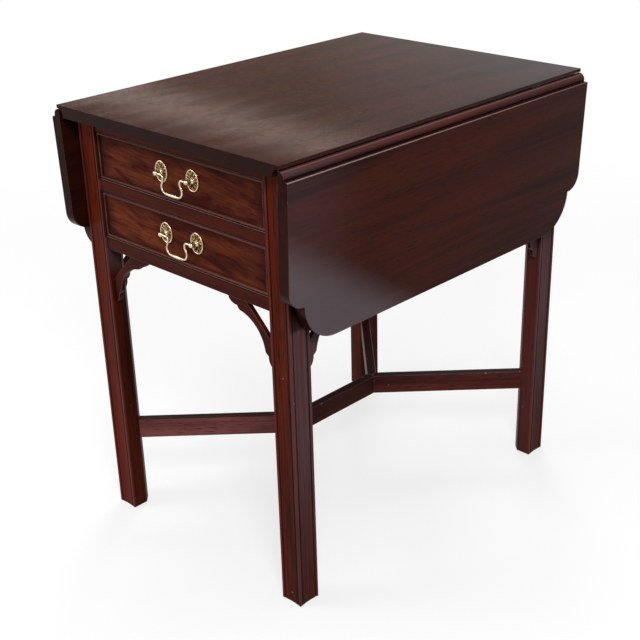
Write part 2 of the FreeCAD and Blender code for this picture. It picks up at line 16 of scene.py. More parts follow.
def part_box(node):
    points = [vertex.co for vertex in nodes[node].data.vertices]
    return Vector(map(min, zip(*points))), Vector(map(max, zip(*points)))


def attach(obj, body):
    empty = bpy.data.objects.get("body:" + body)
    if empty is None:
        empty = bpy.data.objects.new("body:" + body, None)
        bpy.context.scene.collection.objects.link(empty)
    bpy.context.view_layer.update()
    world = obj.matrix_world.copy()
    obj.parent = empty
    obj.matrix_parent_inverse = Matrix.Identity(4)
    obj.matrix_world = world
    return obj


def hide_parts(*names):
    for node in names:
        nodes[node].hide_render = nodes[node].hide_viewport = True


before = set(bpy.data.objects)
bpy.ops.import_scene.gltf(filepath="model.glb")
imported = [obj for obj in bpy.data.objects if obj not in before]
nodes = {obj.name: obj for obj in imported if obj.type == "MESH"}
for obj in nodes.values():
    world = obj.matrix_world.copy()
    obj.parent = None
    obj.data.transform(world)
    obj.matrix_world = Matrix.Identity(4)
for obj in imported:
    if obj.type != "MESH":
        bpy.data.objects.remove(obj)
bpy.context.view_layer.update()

scene = bpy.context.scene
scene.view_settings.view_transform = "Standard"


# %% [markdown]
# ## Colour and shader helpers
# Colours are written as the sRGB hex values a paint program shows. A renderer adds up light, so it
# wants linear values, and one function turns the first into the second. A second function adds one
# shader node, so that each material below reads as a list of what it is made of.

# %% Colours as light
def linear(hex_code):
    """An sRGB hex colour as linear red, green, blue and alpha, by the sRGB curve."""
    srgb = np.array([int(hex_code[i:i + 2], 16) for i in (1, 3, 5)]) / 255
    rgb = np.where(srgb <= 0.04045, srgb / 12.92, ((srgb + 0.055) / 1.055) ** 2.4)
    return (*rgb.tolist(), 1.0)


print("dark mahogany in linear light:", [round(v, 4) for v in linear("#45160d")])

# %% Nodes and blank materials
# The sockets of a Mix node that mixes two colours.
SHARE, UNDER, OVER = 0, 6, 7


def output(node):
    """The first output of a node that is in use: a Mix node, for one, hides those of other kinds."""
    return next(socket for socket in node.outputs if socket.enabled)


def add(tree, kind, sockets=None, **settings):
    """Adds one shader node. Settings are its own properties, and sockets are values that it takes, or
    nodes or outputs that feed it."""
    node = tree.nodes.new("ShaderNode" + kind)
    for key, value in settings.items():
        setattr(node, key, value)
    for key, value in (sockets or {}).items():
        if isinstance(value, bpy.types.Node):
            value = output(value)
        if isinstance(value, bpy.types.NodeSocket):
            tree.links.new(value, node.inputs[key])
        else:
            node.inputs[key].default_value = value
    return node


def span(start, end, low=0.0, high=1.0):
    """The values of a Map Range node that turns start to end into low to high."""
    return {"From Min": start, "From Max": end, "To Min": low, "To Max": high}


def blank_material(name):
    """An empty node material and its tree."""
    material = bpy.data.materials.new(name)
    material.use_nodes = True
    material.node_tree.nodes.clear()
    return material, material.node_tree


print("a Mix node of colours takes its share and two colours at sockets", SHARE, UNDER, OVER)


# %% [markdown]
# ## The camera
# A photograph with straight edges gives away where it was taken from: the vanishing points fix the
# lens and the tilt, and the known height fixes the distance. The frame of the picture was cropped a
# little off the lens axis, which a camera states as a small shift.

# %% Camera at the photograph's place
PHOTO_PIXELS = 640
FOCAL_PIXELS = 1191.7
AXIS_PIXEL = (335.0, 338.7)
CAMERA_PLACE = Vector((1.2923, -1.3362, 1.1604))
AZIMUTH, ELEVATION, ROLL = (math.radians(a) for a in (44.01, 25.58, -1.30))
SENSOR_MM = 36.0

level = Vector((math.cos(AZIMUTH), math.sin(AZIMUTH), 0))
back = Vector((math.sin(AZIMUTH) * math.cos(ELEVATION), -math.cos(AZIMUTH) * math.cos(ELEVATION),
               math.sin(ELEVATION)))
rise = back.cross(level)
right = math.cos(ROLL) * level + math.sin(ROLL) * rise
up = -math.sin(ROLL) * level + math.cos(ROLL) * rise

camera = bpy.data.objects.new("photo_camera", bpy.data.cameras.new("photo_camera"))
scene.collection.objects.link(camera)
camera.matrix_world = Matrix.LocRotScale(CAMERA_PLACE, Matrix((right, up, back)).transposed(), None)
camera.data.sensor_width = SENSOR_MM
camera.data.lens = SENSOR_MM * FOCAL_PIXELS / PHOTO_PIXELS
camera.data.shift_x = (PHOTO_PIXELS / 2 - AXIS_PIXEL[0]) / PHOTO_PIXELS
camera.data.shift_y = (AXIS_PIXEL[1] - PHOTO_PIXELS / 2) / PHOTO_PIXELS
scene.camera = camera
print("lens mm", round(camera.data.lens, 2), "shift", round(camera.data.shift_x, 4),
      round(camera.data.shift_y, 4))


# %% [markdown]
# ## The studio
# The table stands on a plain white floor. Two thirds of the floor's white is its own glow, shown to the
# camera and to reflections only, so the floor looks white without lighting the table more; the rest is
# ordinary paint, which keeps the table's shadow. Far out it is all glow, and so is the world beyond.

# %% White floor
FLOOR_SPAN, FLOOR_DROP = (-9.0, 9.0), 0.0004
SHADOW_REACH = (0.9, 2.2)
PAINT_SHARE = 0.34
CORNERS = ((0, 0), (1, 0), (1, 1), (0, 1))


def seen_directly(tree):
    """One where a ray comes from the camera, a reflection or a glass surface, and nought elsewhere."""
    path = add(tree, "LightPath").outputs
    either = add(tree, "Math", {0: path["Is Camera Ray"], 1: path["Is Glossy Ray"]}, operation="MAXIMUM")
    return add(tree, "Math", {0: either, 1: path["Is Transmission Ray"]}, operation="MAXIMUM")


def stage_card(name, corners, finish):
    """A flat four-cornered piece of the studio, which is no part of the table."""
    mesh = bpy.data.meshes.new(name)
    mesh.from_pydata(corners, [], [(0, 1, 2, 3)])
    mesh.materials.append(finish)
    card = bpy.data.objects.new(name, mesh)
    scene.collection.objects.link(card)
    return card


# Matt white paint: pale and even, with a soft shadow near the table.
floor_paint, tree = blank_material("white_floor_paint")
away = add(tree, "VectorMath", {0: add(tree, "TexCoord").outputs["Object"]}, operation="LENGTH")
fade = add(tree, "MapRange", {"Value": away, **span(*SHADOW_REACH)}, interpolation_type="SMOOTHSTEP")
seen = seen_directly(tree)
near_glow = add(tree, "Math", {0: seen, 1: 1 - PAINT_SHARE}, operation="MULTIPLY")
paint = add(tree, "BsdfDiffuse", {"Color": (PAINT_SHARE,) * 3 + (1.0,)})
near = add(tree, "AddShader", {0: paint, 1: add(tree, "Emission", {"Strength": near_glow})})
far = add(tree, "Emission", {"Strength": seen})
add(tree, "OutputMaterial", {"Surface": add(tree, "MixShader", {0: fade, 1: near, 2: far})})
stage_card("studio_floor", [(FLOOR_SPAN[i], FLOOR_SPAN[j], -FLOOR_DROP) for i, j in CORNERS], floor_paint)
print("floor", FLOOR_SPAN[1] - FLOOR_SPAN[0], "m across, of which paint gives", PAINT_SHARE)

# %% White world
AMBIENT = 0.28
studio = bpy.data.worlds.new("white_studio")
studio.use_nodes = True
tree = studio.node_tree
tree.nodes.clear()
strength = add(tree, "Math", {0: seen_directly(tree), 1: 1 - AMBIENT, 2: AMBIENT}, operation="MULTIPLY_ADD")
sky = add(tree, "Background", {"Color": linear("#ffffff"), "Strength": strength})
add(tree, "OutputWorld", {"Surface": sky})
scene.world = studio
print("ambient light", AMBIENT)


# %% [markdown]
# ## Soft lamps
# A studio lights dark polished wood with large soft boxes, because a small lamp would leave hard glints.
# Each is an area lamp turned to face the table. The key lamp stands to the left of the drawers, a smaller
# one fills in from the front right, one hangs overhead and one stands behind, so that no side is black.

# %% Soft boxes
def softbox(name, place, aim, size, watts, colour="#ffffff"):
    """A rectangular lamp at a place, turned to face its aim, that the camera doesn't see."""
    lamp = bpy.data.lights.new(name, "AREA")
    lamp.shape = "RECTANGLE"
    lamp.size, lamp.size_y = size
    lamp.energy = watts
    lamp.color = linear(colour)[:3]
    box = bpy.data.objects.new(name, lamp)
    scene.collection.objects.link(box)
    box.location = place
    box.rotation_euler = (Vector(aim) - Vector(place)).to_track_quat("-Z", "Y").to_euler()
    box.visible_camera = False


softbox("key_softbox", place=(-1.5, -2.0, 1.4), aim=(0, -0.2, 0.35), size=(1.2, 1.2), watts=26)
softbox("fill_softbox", place=(1.6, -1.4, 2.1), aim=(0.1, 0, 0.4), size=(0.7, 0.7), watts=36)
softbox("overhead_softbox", place=(0, 0.2, 2.9), aim=(0, 0, 0.7), size=(2.0, 2.0), watts=26)
softbox("rear_softbox", place=(-1.3, 1.8, 3.0), aim=(0, 0.1, 0.4), size=(1.0, 1.0), watts=26)


# %% [markdown]
# ## What the polished top mirrors
# Seen at a low angle, a polished top is a mirror of whatever stands behind it. A grey backdrop there
# keeps the wood's own colour in view. It is brightest low down and towards the right, where it turns from
# warm to cool, and so is the top's rear right corner. One long rosy strip lamp before it draws the pale
# band of light that runs across the top near its front edge. Only reflections meet the backdrop.

# %% Grey backdrop and strip lamp
BACKDROP_X, BACKDROP_Y, BACKDROP_Z = (-5.4, -0.2), 2.7, (0.7, 2.6)
FALL_Z, RISE_X = (1.2, 2.07), (-2.8, -1.2)
LOW_GLOW, HIGH_GLOW, RIGHT_GLOW = 0.41, 0.03, 0.40
WARM_WHITE, COOL_WHITE, ROSY_WHITE = "#fffbea", "#def8ff", "#ffeee2"

# Grey card: a plain dim glow, so that the polish above it looks clear and not milky.
grey_card, tree = blank_material("grey_backdrop_card")
place = add(tree, "SeparateXYZ", {0: add(tree, "TexCoord").outputs["Object"]}).outputs
low_glow = add(tree, "MapRange", {"Value": place["Z"], **span(*FALL_Z, LOW_GLOW, HIGH_GLOW)})
rightward = add(tree, "MapRange", {"Value": place["X"], **span(*RISE_X)})
glow = add(tree, "Math", {0: rightward, 1: RIGHT_GLOW, 2: low_glow}, operation="MULTIPLY_ADD")
tint = add(tree, "Mix", {SHARE: rightward, UNDER: linear(WARM_WHITE), OVER: linear(COOL_WHITE)},
           data_type="RGBA")
add(tree, "OutputMaterial", {"Surface": add(tree, "Emission", {"Color": tint, "Strength": glow})})

backdrop = stage_card("grey_backdrop", [(BACKDROP_X[i], BACKDROP_Y, BACKDROP_Z[j]) for i, j in CORNERS],
                      grey_card)
backdrop.visible_camera = backdrop.visible_diffuse = False
backdrop.visible_shadow = backdrop.visible_transmission = False
softbox("strip_softbox", place=(-3.3, 2.5, 1.842), aim=(-3.3, -2.0, 1.842), size=(3.6, 0.12), watts=2.95,
        colour=ROSY_WHITE)
print("backdrop from", BACKDROP_X, "m, seen by reflections only")


# %% [markdown]
# ## Mahogany
# Mahogany is a red-brown wood with long faint stripes, a ribbon figure and short open pores that show
# as dark flecks. It could be painted as an image, but then the grain would not run through an edge.
# Here the grain is three layers of noise, squeezed across the board and stretched along it, so every
# face cut from the same stick agrees. The layers are turned so that each piece's grain runs along it,
# and ends cut across the grain drink more polish, so they are darker. A fourth, slow layer only lifts
# the surface, for a top that was planed by hand.

# %% Sizes of the grain
# Sizes along and across the grain. The pores of mahogany are about 0.2 mm wide, and are drawn coarser so
# that they show at this distance.
FIGURE_SIZE, STRIPE_SIZE = (0.420, 0.034), (0.300, 0.0045)
PORE_SIZE, WAVE_SIZE = (0.016, 0.0010), (0.130, 0.050)
ALONG_X, ALONG_Y, ALONG_Z = (0, 0, 0), (0, 0, math.pi / 2), (0, -math.pi / 2, 0)
# Most of a noise's values lie in its middle band, and the pores are its peaks. An end is a face that
# looks along the grain.
MIDDLE_BAND, END_BAND = (0.3, 0.7), (0.75, 0.95)
PORE_BAND = span(0.58, 0.72, high=0.7)
PORE_DENT = {"Strength": 0.25, "Distance": 0.0002}
TONE_MIDDLE, RIBBON_BEND, ROUGHNESS_SPREAD = 0.92, 0.6, 0.12
print("wood figure in metres:", FIGURE_SIZE, "stripes", STRIPE_SIZE, "pores", PORE_SIZE)


# %% Wood shader
def wood(name, light, dark, pore, turn, roughness, specular, figure=0.55, lift=0.5, spread=0.6,
         end_grain=0.6, figure_size=FIGURE_SIZE, stripe_size=STRIPE_SIZE, pore_size=PORE_SIZE, wave=0.0):
    """Polished wood with its grain turned from X by the given angles. Lift moves it from dark to light, the
    smaller the spread of noise between dark and light, the bolder the figure, and wave is how high the slow
    unevenness of its surface is."""
    material, tree = blank_material(name)
    place = add(tree, "TexCoord").outputs

    def grain(size, detail, bend=0.0):
        along, across = size
        held = add(tree, "Mapping", {"Vector": place["Object"], "Rotation": turn,
                                     "Scale": (along, across, across)}, vector_type="TEXTURE")
        return add(tree, "TexNoise", {"Vector": held, "Scale": 1.0, "Detail": detail, "Distortion": bend})

    stripe = grain(stripe_size, detail=3.0)
    ribbon = add(tree, "MapRange", {"Value": grain(figure_size, detail=3.0, bend=RIBBON_BEND),
                                    **span(*MIDDLE_BAND, high=figure)})
    tone = add(tree, "Math", {0: stripe, 1: 1 - figure, 2: ribbon}, operation="MULTIPLY_ADD")
    middle = TONE_MIDDLE - lift
    level = add(tree, "MapRange", {"Value": tone, **span(middle - spread / 2, middle + spread / 2)})
    body = add(tree, "Mix", {SHARE: level, UNDER: linear(dark), OVER: linear(light)}, data_type="RGBA")
    fleck = add(tree, "MapRange", {"Value": grain(pore_size, detail=1.0), **PORE_BAND})
    flecked = add(tree, "Mix", {SHARE: fleck, UNDER: body, OVER: linear(pore)}, data_type="RGBA")
    facing = add(tree, "Mapping", {"Vector": place["Normal"], "Rotation": turn}, vector_type="TEXTURE")
    along = add(tree, "SeparateXYZ", {0: facing}).outputs["X"]
    either_way = add(tree, "Math", {0: along}, operation="ABSOLUTE")
    end = add(tree, "MapRange", {"Value": either_way, **span(*END_BAND, high=end_grain)})
    colour = add(tree, "Mix", {SHARE: end, UNDER: flecked, OVER: linear(pore)}, data_type="RGBA")
    smooth, dull = (1 - ROUGHNESS_SPREAD) * roughness, (1 + ROUGHNESS_SPREAD) * roughness
    rough = add(tree, "MapRange", {"Value": stripe, **span(*MIDDLE_BAND, smooth, dull)})
    uneven = add(tree, "Bump", {"Height": grain(WAVE_SIZE, detail=1.0), "Distance": wave})
    dent = add(tree, "Bump", {"Height": fleck, "Normal": uneven, **PORE_DENT}, invert=True)
    shader = add(tree, "BsdfPrincipled", {"Base Color": colour, "Roughness": rough, "Normal": dent,
                                          "Specular IOR Level": specular})
    add(tree, "OutputMaterial", {"Surface": shader})
    return material


print("pores are dented by", PORE_DENT["Distance"], "m")

# %% Mahogany of the frame, top and leaves
LEG_STRIPE, LEG_PORE = (0.110, 0.0030), (0.026, 0.0019)
TOP_WAVE = 0.00025
BODY = dict(light="#5c1e0d", dark="#2b0905", pore="#180503", roughness=0.42, specular=0.045)
LEAF = dict(light="#4a1d12", dark="#2c0e09", pore="#1b0806", turn=ALONG_Y, roughness=0.22, specular=0.035,
            lift=0.466, spread=0.46)

# Wiped but seldom polished: deep red-brown and nearly matt, with fine upright streaks on the legs.
leg_mahogany = wood("mahogany_leg", turn=ALONG_Z, lift=0.473, spread=0.28, figure=0.4,
                    stripe_size=LEG_STRIPE, pore_size=LEG_PORE, **{**BODY, "specular": 0.036})
# The same wood, lying along: a little duller on the rails, and darker still low down.
cross_mahogany = wood("mahogany_rail", turn=ALONG_X, **{**BODY, "light": "#541b0c"})
low_mahogany = wood("mahogany_low_rail", turn=ALONG_X, **{**BODY, "light": "#4a170c"})
side_mahogany = wood("mahogany_apron", turn=ALONG_Y, **BODY)
# Polished by hand for years: a brown mirror whose reflections waver with the wood beneath.
top_mahogany = wood("mahogany_top_board", light="#421c15", dark="#2b110e", pore="#1d0b09", turn=ALONG_Y,
                    roughness=0.10, specular=0.05, end_grain=0.75, wave=TOP_WAVE)
# Polished, but hanging out of the light: a satin brown with bold slow ribbons.
leaf_mahogany = {"right": wood("mahogany_leaf_right", **LEAF),
                 "left": wood("mahogany_leaf_left", end_grain=0.85, **LEAF)}
print("woods:", [m.name for m in bpy.data.materials if m.name.startswith("mahogany")])


# %% [markdown]
# ## Stretchers
# The front pair is coloured paler, as painted light, and the rear pair and the middle bar darker, as
# painted shade under the top.
# Their upper faces are darkened with painted shade, and knocks have left small pale nicks. These could
# be one texture for all, but each has its own place, so each is laid over the wood as a colour with its
# own mask: upper faces by their normal, nicks by the peaks of a fine noise.

# %% Painted shade on upper faces, and nicks
# Painted shade on the upper faces.
UPPER_SHADE_COLOUR, UPPER_SHADE_SHARE = "#210b09", 0.85
NICK_COLOUR, NICK_SIZE = "#b89c92", 0.010
NICK_BAND, FACING_BAND = span(0.755, 0.775, high=0.75), (0.5, 0.9)


def overlay(material, mask, hex_code):
    """Lays a colour over the one that a material has, as far as the mask says."""
    tree = material.node_tree
    shader = next(n for n in tree.nodes if n.type == "BSDF_PRINCIPLED")
    under = shader.inputs["Base Color"].links[0].from_socket
    mixed = add(tree, "Mix", {SHARE: mask, UNDER: under, OVER: linear(hex_code)}, data_type="RGBA")
    tree.links.new(output(mixed), shader.inputs["Base Color"])


def blacken_top(material):
    """Darkens the faces that look up with painted shade."""
    tree = material.node_tree
    upward = add(tree, "SeparateXYZ", {0: add(tree, "TexCoord").outputs["Normal"]}).outputs["Z"]
    mask = add(tree, "MapRange", {"Value": upward, **span(*FACING_BAND, high=UPPER_SHADE_SHARE)})
    overlay(material, mask, UPPER_SHADE_COLOUR)


def nick(material):
    """Scatters a few small pale nicks, at the peaks of a fine noise."""
    tree = material.node_tree
    spot = add(tree, "TexNoise", {"Vector": add(tree, "TexCoord").outputs["Object"],
                                  "Scale": 1 / NICK_SIZE, "Detail": 2.0})
    overlay(material, add(tree, "MapRange", {"Value": spot, **NICK_BAND}), NICK_COLOUR)


print("painted shade takes", UPPER_SHADE_SHARE, "of an upper face's colour, nicks come from noise of", NICK_SIZE, "m")

# %% Stretcher woods
EIGHTH_TURN = math.pi / 4
# Tones: paler in front as painted light, darker behind and in the middle as painted shade.
MIDDLE_TONES, FRONT_TONES, REAR_TONES = ("#451a13", "#240c09"), ("#8a5250", "#4a2727"), ("#602e29", "#2c1414")
STRETCHERS = {
    "stretcher_centre": (2 * EIGHTH_TURN, MIDDLE_TONES),
    "stretcher_front_left": (EIGHTH_TURN, FRONT_TONES),
    "stretcher_front_right": (-EIGHTH_TURN, FRONT_TONES),
    "stretcher_rear_right": (EIGHTH_TURN, REAR_TONES),
    "stretcher_rear_left": (-EIGHTH_TURN, REAR_TONES),
}
# Greyed red in front as painted light, nearly black in the middle as painted shade, with long streaks.
stretcher_mahogany = {}
for name, (turn, (light, dark)) in STRETCHERS.items():
    finish = wood("mahogany_" + name, turn=(0, 0, turn), lift=0.468, spread=0.36,
                  **{**BODY, "light": light, "dark": dark})
    blacken_top(finish)
    nick(finish)
    stretcher_mahogany[name] = finish
print("stretchers scuffed:", list(stretcher_mahogany))


# %% [markdown]
# ## Painted sheen and shadow on the legs
# The legs and the apron below the right leaf carry a pale painted sheen, daylight from the right reflected
# in streaks along the grain. Above the leaf's lower edge they carry the leaf's painted shadow instead.
# The front left leg has painted shade on its inner face and is redder towards its foot. Each of these
# could be painted by hand; here each is a mask of the faces that look one way, on one part of the table,
# whose share changes with height, which needs no picture and no seams.

# %% Masks of faces
PART_START = 0.1
RIGHT, LEFT, REAR, FORWARD = (1, 0, 0), (-1, 0, 0), (0, 1, 0), (0, -1, 0)
FRONT_LEFT = (-0.7, -0.7, 0)
# Colour and streaks of the painted sheen of reflected daylight.
DAYLIGHT_SHEEN_COLOUR, DAYLIGHT_SHEEN_STREAK = "#64545a", (0.006, 0.006, 0.18)
DAYLIGHT_SHEEN_UNEVEN = (0.55, 1.3)


def face_mask(tree, toward, part, low, high):
    """A mask of the faces that look one way, on the part of the table that lies another way. Its share goes
    from the low (height, share) to the high one."""
    place = add(tree, "TexCoord").outputs
    facing = add(tree, "VectorMath", {0: place["Normal"], 1: toward}, operation="DOT_PRODUCT")
    side = add(tree, "VectorMath", {0: place["Object"], 1: part}, operation="DOT_PRODUCT")
    on_part = add(tree, "Math", {0: side, 1: PART_START}, operation="GREATER_THAN")
    height = add(tree, "SeparateXYZ", {0: place["Object"]}).outputs["Z"]
    rise = add(tree, "MapRange", {"Value": height, **span(low[0], high[0], low[1], high[1])})
    looks = add(tree, "MapRange", {"Value": facing, **span(*FACING_BAND)})
    mask = add(tree, "Math", {0: looks, 1: on_part}, operation="MULTIPLY")
    return add(tree, "Math", {0: mask, 1: rise}, operation="MULTIPLY")


def daylight_sheen(material, toward, part, low, high):
    """Paints reflected daylight as a pale sheen on the faces a mask gives, in streaks along the leg."""
    tree = material.node_tree
    held = add(tree, "Mapping", {"Vector": add(tree, "TexCoord").outputs["Object"], "Scale": DAYLIGHT_SHEEN_STREAK},
               vector_type="TEXTURE")
    streak = add(tree, "TexNoise", {"Vector": held, "Scale": 1.0, "Detail": 3.0})
    uneven = add(tree, "MapRange", {"Value": streak, **span(*MIDDLE_BAND, *DAYLIGHT_SHEEN_UNEVEN)})
    mask = add(tree, "Math", {0: face_mask(tree, toward, part, low, high), 1: uneven}, operation="MULTIPLY")
    overlay(material, mask, DAYLIGHT_SHEEN_COLOUR)


def tone_faces(material, hex_code, toward, part, low, high):
    """Lays a colour evenly over the faces that a face mask gives."""
    overlay(material, face_mask(material.node_tree, toward, part, low, high), hex_code)


print("a part of the table starts", PART_START, "m off its middle, streaks of bloom are", DAYLIGHT_SHEEN_STREAK)

# %% Painted sheen, shadow and a redder foot on the legs
PAINTED_SHADOW_COLOUR, FOOT_RED = "#1c0806", "#7a1a0a"
LEAF_LINE, LEAF_LINE_SOFT, PAINTED_SHADOW_SHARE = 0.462, 0.003, 0.85
# Painted sheen on faces that look right, on the front left leg's inner top and on the rear legs' fronts.
daylight_sheen(leg_mahogany, RIGHT, RIGHT, low=(0.04, 0.08), high=(0.30, 0.52))
daylight_sheen(leg_mahogany, RIGHT, FRONT_LEFT, low=(0.435, 0.0), high=(0.465, 0.5))
daylight_sheen(leg_mahogany, FORWARD, REAR, low=(0.04, 0.16), high=(0.30, 0.16))
daylight_sheen(side_mahogany, RIGHT, RIGHT, low=(0.44, 0.65), high=(0.475, 0.0))
# Painted shadow of the right leaf on the legs and apron, above its lower edge.
for finish in (leg_mahogany, side_mahogany):
    tone_faces(finish, PAINTED_SHADOW_COLOUR, RIGHT, RIGHT, low=(LEAF_LINE - LEAF_LINE_SOFT, 0.0),
               high=(LEAF_LINE + LEAF_LINE_SOFT, PAINTED_SHADOW_SHARE))
# Redder towards the foot of the front left leg's front face.
tone_faces(leg_mahogany, FOOT_RED, FORWARD, FRONT_LEFT, low=(0.05, 0.35), high=(0.35, 0.0))
# Painted shade on the front left leg's inner face.
tone_faces(leg_mahogany, PAINTED_SHADOW_COLOUR, RIGHT, FRONT_LEFT, low=(0.0, 0.35), high=(0.43, 0.35))
print("bloom on the right up to", LEAF_LINE, "m")


# %% [markdown]
# ## Beads and quirks of the legs
# The legs' two outer faces are moulded with a bead along each edge and a narrow quirk, or groove, beside
# it. The solids have that shape. The quirks get painted shade and the beads a patchy painted highlight.
# Both are found from a point's distance in from the nearest edge of its face, which the four legs share
# once left and right, and front and back, are folded together.

# %% Painted shade in the quirks and highlights on the beads
QUIRK_IN, QUIRK_HALF, BEAD_WIDTH, MOULDING_DEPTH = 0.0058, 0.0009, 0.0045, 0.003
# Patchy painted highlight on the beads, and painted shade in the quirks and round the drawers.
BEAD_HIGHLIGHT_PATCH, BEAD_HIGHLIGHT_SHARE, QUIRK_SHADE_SHARE = 0.05, 0.6, 0.8
BEAD_HIGHLIGHT_COLOUR, RECESS_SHADE_COLOUR = "#7d4c48", "#120403"


def mould_legs(material):
    """Paints a highlight on the beads and shade in the quirks, by how far a point lies in from the
    nearest edge of its outer face.
    """
    tree = material.node_tree
    low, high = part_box("leg_rear_right")
    half = ((high.x - low.x) / 2,) * 3
    place = add(tree, "TexCoord").outputs["Object"]
    out = add(tree, "VectorMath", {0: place}, operation="ABSOLUTE")
    inset = add(tree, "VectorMath", {0: (high.x, high.y, 0), 1: out}, operation="SUBTRACT")
    centred = add(tree, "VectorMath", {0: inset, 1: half}, operation="SUBTRACT")
    aside = add(tree, "VectorMath", {0: centred}, operation="ABSOLUTE")
    edge = add(tree, "VectorMath", {0: half, 1: aside}, operation="SUBTRACT")
    edge_parts = add(tree, "SeparateXYZ", {0: edge}).outputs
    inset_parts = add(tree, "SeparateXYZ", {0: inset}).outputs
    across = add(tree, "Math", {0: edge_parts["X"], 1: edge_parts["Y"]}, operation="MAXIMUM")
    depth = add(tree, "Math", {0: inset_parts["X"], 1: inset_parts["Y"]}, operation="MINIMUM")
    outer = add(tree, "Math", {0: depth, 1: MOULDING_DEPTH}, operation="LESS_THAN")
    pale_share = add(tree, "MapRange", {"Value": across, **span(BEAD_WIDTH, BEAD_WIDTH / 2, high=BEAD_HIGHLIGHT_SHARE)})
    patch = add(tree, "TexNoise", {"Vector": place, "Scale": 1 / BEAD_HIGHLIGHT_PATCH, "Detail": 3.0})
    highlight_patches = add(tree, "Math", {0: patch, 1: outer}, operation="MULTIPLY")
    overlay(material, add(tree, "Math", {0: pale_share, 1: highlight_patches}, operation="MULTIPLY"), BEAD_HIGHLIGHT_COLOUR)
    off_quirk = add(tree, "Math", {0: across, 1: QUIRK_IN}, operation="SUBTRACT")
    either_side = add(tree, "Math", {0: off_quirk}, operation="ABSOLUTE")
    quirk_shade = add(tree, "MapRange", {"Value": either_side,
                                 **span(2 * QUIRK_HALF, QUIRK_HALF / 2, high=QUIRK_SHADE_SHARE)})
    overlay(material, add(tree, "Math", {0: quirk_shade, 1: outer}, operation="MULTIPLY"), RECESS_SHADE_COLOUR)


mould_legs(leg_mahogany)
nick(leg_mahogany)
print("leg moulding coloured to", MOULDING_DEPTH, "m deep")


# %% [markdown]
# ## Painted reflection on the right leaf
# The right leaf carries a pale painted reflection in its lower front corner, beyond a slanting line, and
# a fainter one along its whole front edge. A painted picture of it would have to be fitted to the leaf;
# a line on the leaf and a point's distance from it give the same marks with a few numbers. The inner
# faces of both leaves are darkened with painted shade.

# %% Painted reflection and shade on the leaves
# Lines through two points of the leaf, as (from front to back, up).
CORNER_LINE, CORNER_SOFT, CORNER_SHARE = ((-0.30, 0.567), (-0.12, 0.452)), 0.035, 0.7
FRONT_LINE, FRONT_SOFT, FRONT_SHARE = ((-0.25, 0.70), (-0.25, 0.45)), 0.08, 0.15
# Colour of the painted reflection.
LEAF_REFLECTION_COLOUR = "#73686e"
INNER_SHARE = 0.6


def paint_leaf_reflection(material, line, soft, share):
    """Paints a pale reflection on the outer face below or before a line: the mask is the distance from it,
    over a soft band.
    """
    tree = material.node_tree
    (y0, z0), (y1, z1) = line
    length = math.hypot(y1 - y0, z1 - z0)
    below = (0, (z1 - z0) / length, (y0 - y1) / length)
    level = below[1] * y0 + below[2] * z0
    place = add(tree, "TexCoord").outputs
    depth = add(tree, "VectorMath", {0: place["Object"], 1: below}, operation="DOT_PRODUCT")
    reflected = add(tree, "MapRange", {"Value": depth, **span(level - soft, level + soft, high=share)},
                interpolation_type="SMOOTHSTEP")
    facing = add(tree, "SeparateXYZ", {0: place["Normal"]}).outputs["X"]
    outer = add(tree, "MapRange", {"Value": facing, **span(*FACING_BAND)})
    overlay(material, add(tree, "Math", {0: reflected, 1: outer}, operation="MULTIPLY"), LEAF_REFLECTION_COLOUR)


paint_leaf_reflection(leaf_mahogany["right"], FRONT_LINE, FRONT_SOFT, FRONT_SHARE)
paint_leaf_reflection(leaf_mahogany["right"], CORNER_LINE, CORNER_SOFT, CORNER_SHARE)
# Painted shade on both leaves' inner faces.
for side, inward, outward in (("left", RIGHT, LEFT), ("right", LEFT, RIGHT)):
    tone_faces(leaf_mahogany[side], PAINTED_SHADOW_COLOUR, inward, outward, low=(0, INNER_SHARE),
               high=(1, INNER_SHARE))
print("cloud below the line", CORNER_LINE)


# %% [markdown]
# ## Rule joint lines
# Each leaf's top edge is a round that turns under the lip of the top, with a narrow shoulder below it.
# Painted shade lies under the lip and in the corner of the shoulder, with a thin painted highlight just
# below the lip, a faint painted sheen on the round and a painted highlight along the shoulder's own edge,
# strongest at the front. All of these run from front to back, so each is drawn by a point's distance from
# one line, and a leaf carries its lines along when it is raised.

# %% Painted shade and highlight lines on the leaves
# Painted shade, highlight and sheen colours of the rule joint lines.
LEAF_SHADE_COLOUR, LEAF_HIGHLIGHT_COLOUR, SHEEN_COLOUR = "#0c0303", "#c9aca2", "#7a5f62"
# A line's place as (out from the middle, up), how far it reaches, its share and its colour.
LIP_HIGHLIGHT = ((0.2448, 0.7024), 0.0010, 0.12, LEAF_HIGHLIGHT_COLOUR)
UNDER_LIP = ((0.2375, 0.7046), 0.0060, 0.9, LEAF_SHADE_COLOUR)
SHOULDER_CORNER = ((0.2492, 0.6912), 0.0042, 0.8, LEAF_SHADE_COLOUR)
SHOULDER_EDGE, SHOULDER_REACH = (0.2558, 0.6908), 0.0013
SHOULDER_HIGHLIGHT_FADE, ROUND_SHEEN = span(-0.34, 0.34, 0.55, 0.2), span(0.15, 0.5, high=0.15)


def near_line(tree, place, reach, share):
    """A mask about a line that runs from front to back: whole up to half the reach, and gone beyond it."""
    out = add(tree, "VectorMath", {0: add(tree, "TexCoord").outputs["Object"]}, operation="ABSOLUTE")
    off = add(tree, "VectorMath", {0: out, 1: (place[0], 0, place[1])}, operation="SUBTRACT")
    flat = add(tree, "VectorMath", {0: off, 1: (1, 0, 1)}, operation="MULTIPLY")
    away = add(tree, "VectorMath", {0: flat}, operation="LENGTH")
    return add(tree, "MapRange", {"Value": away, **span(reach, reach / 2, high=share)})


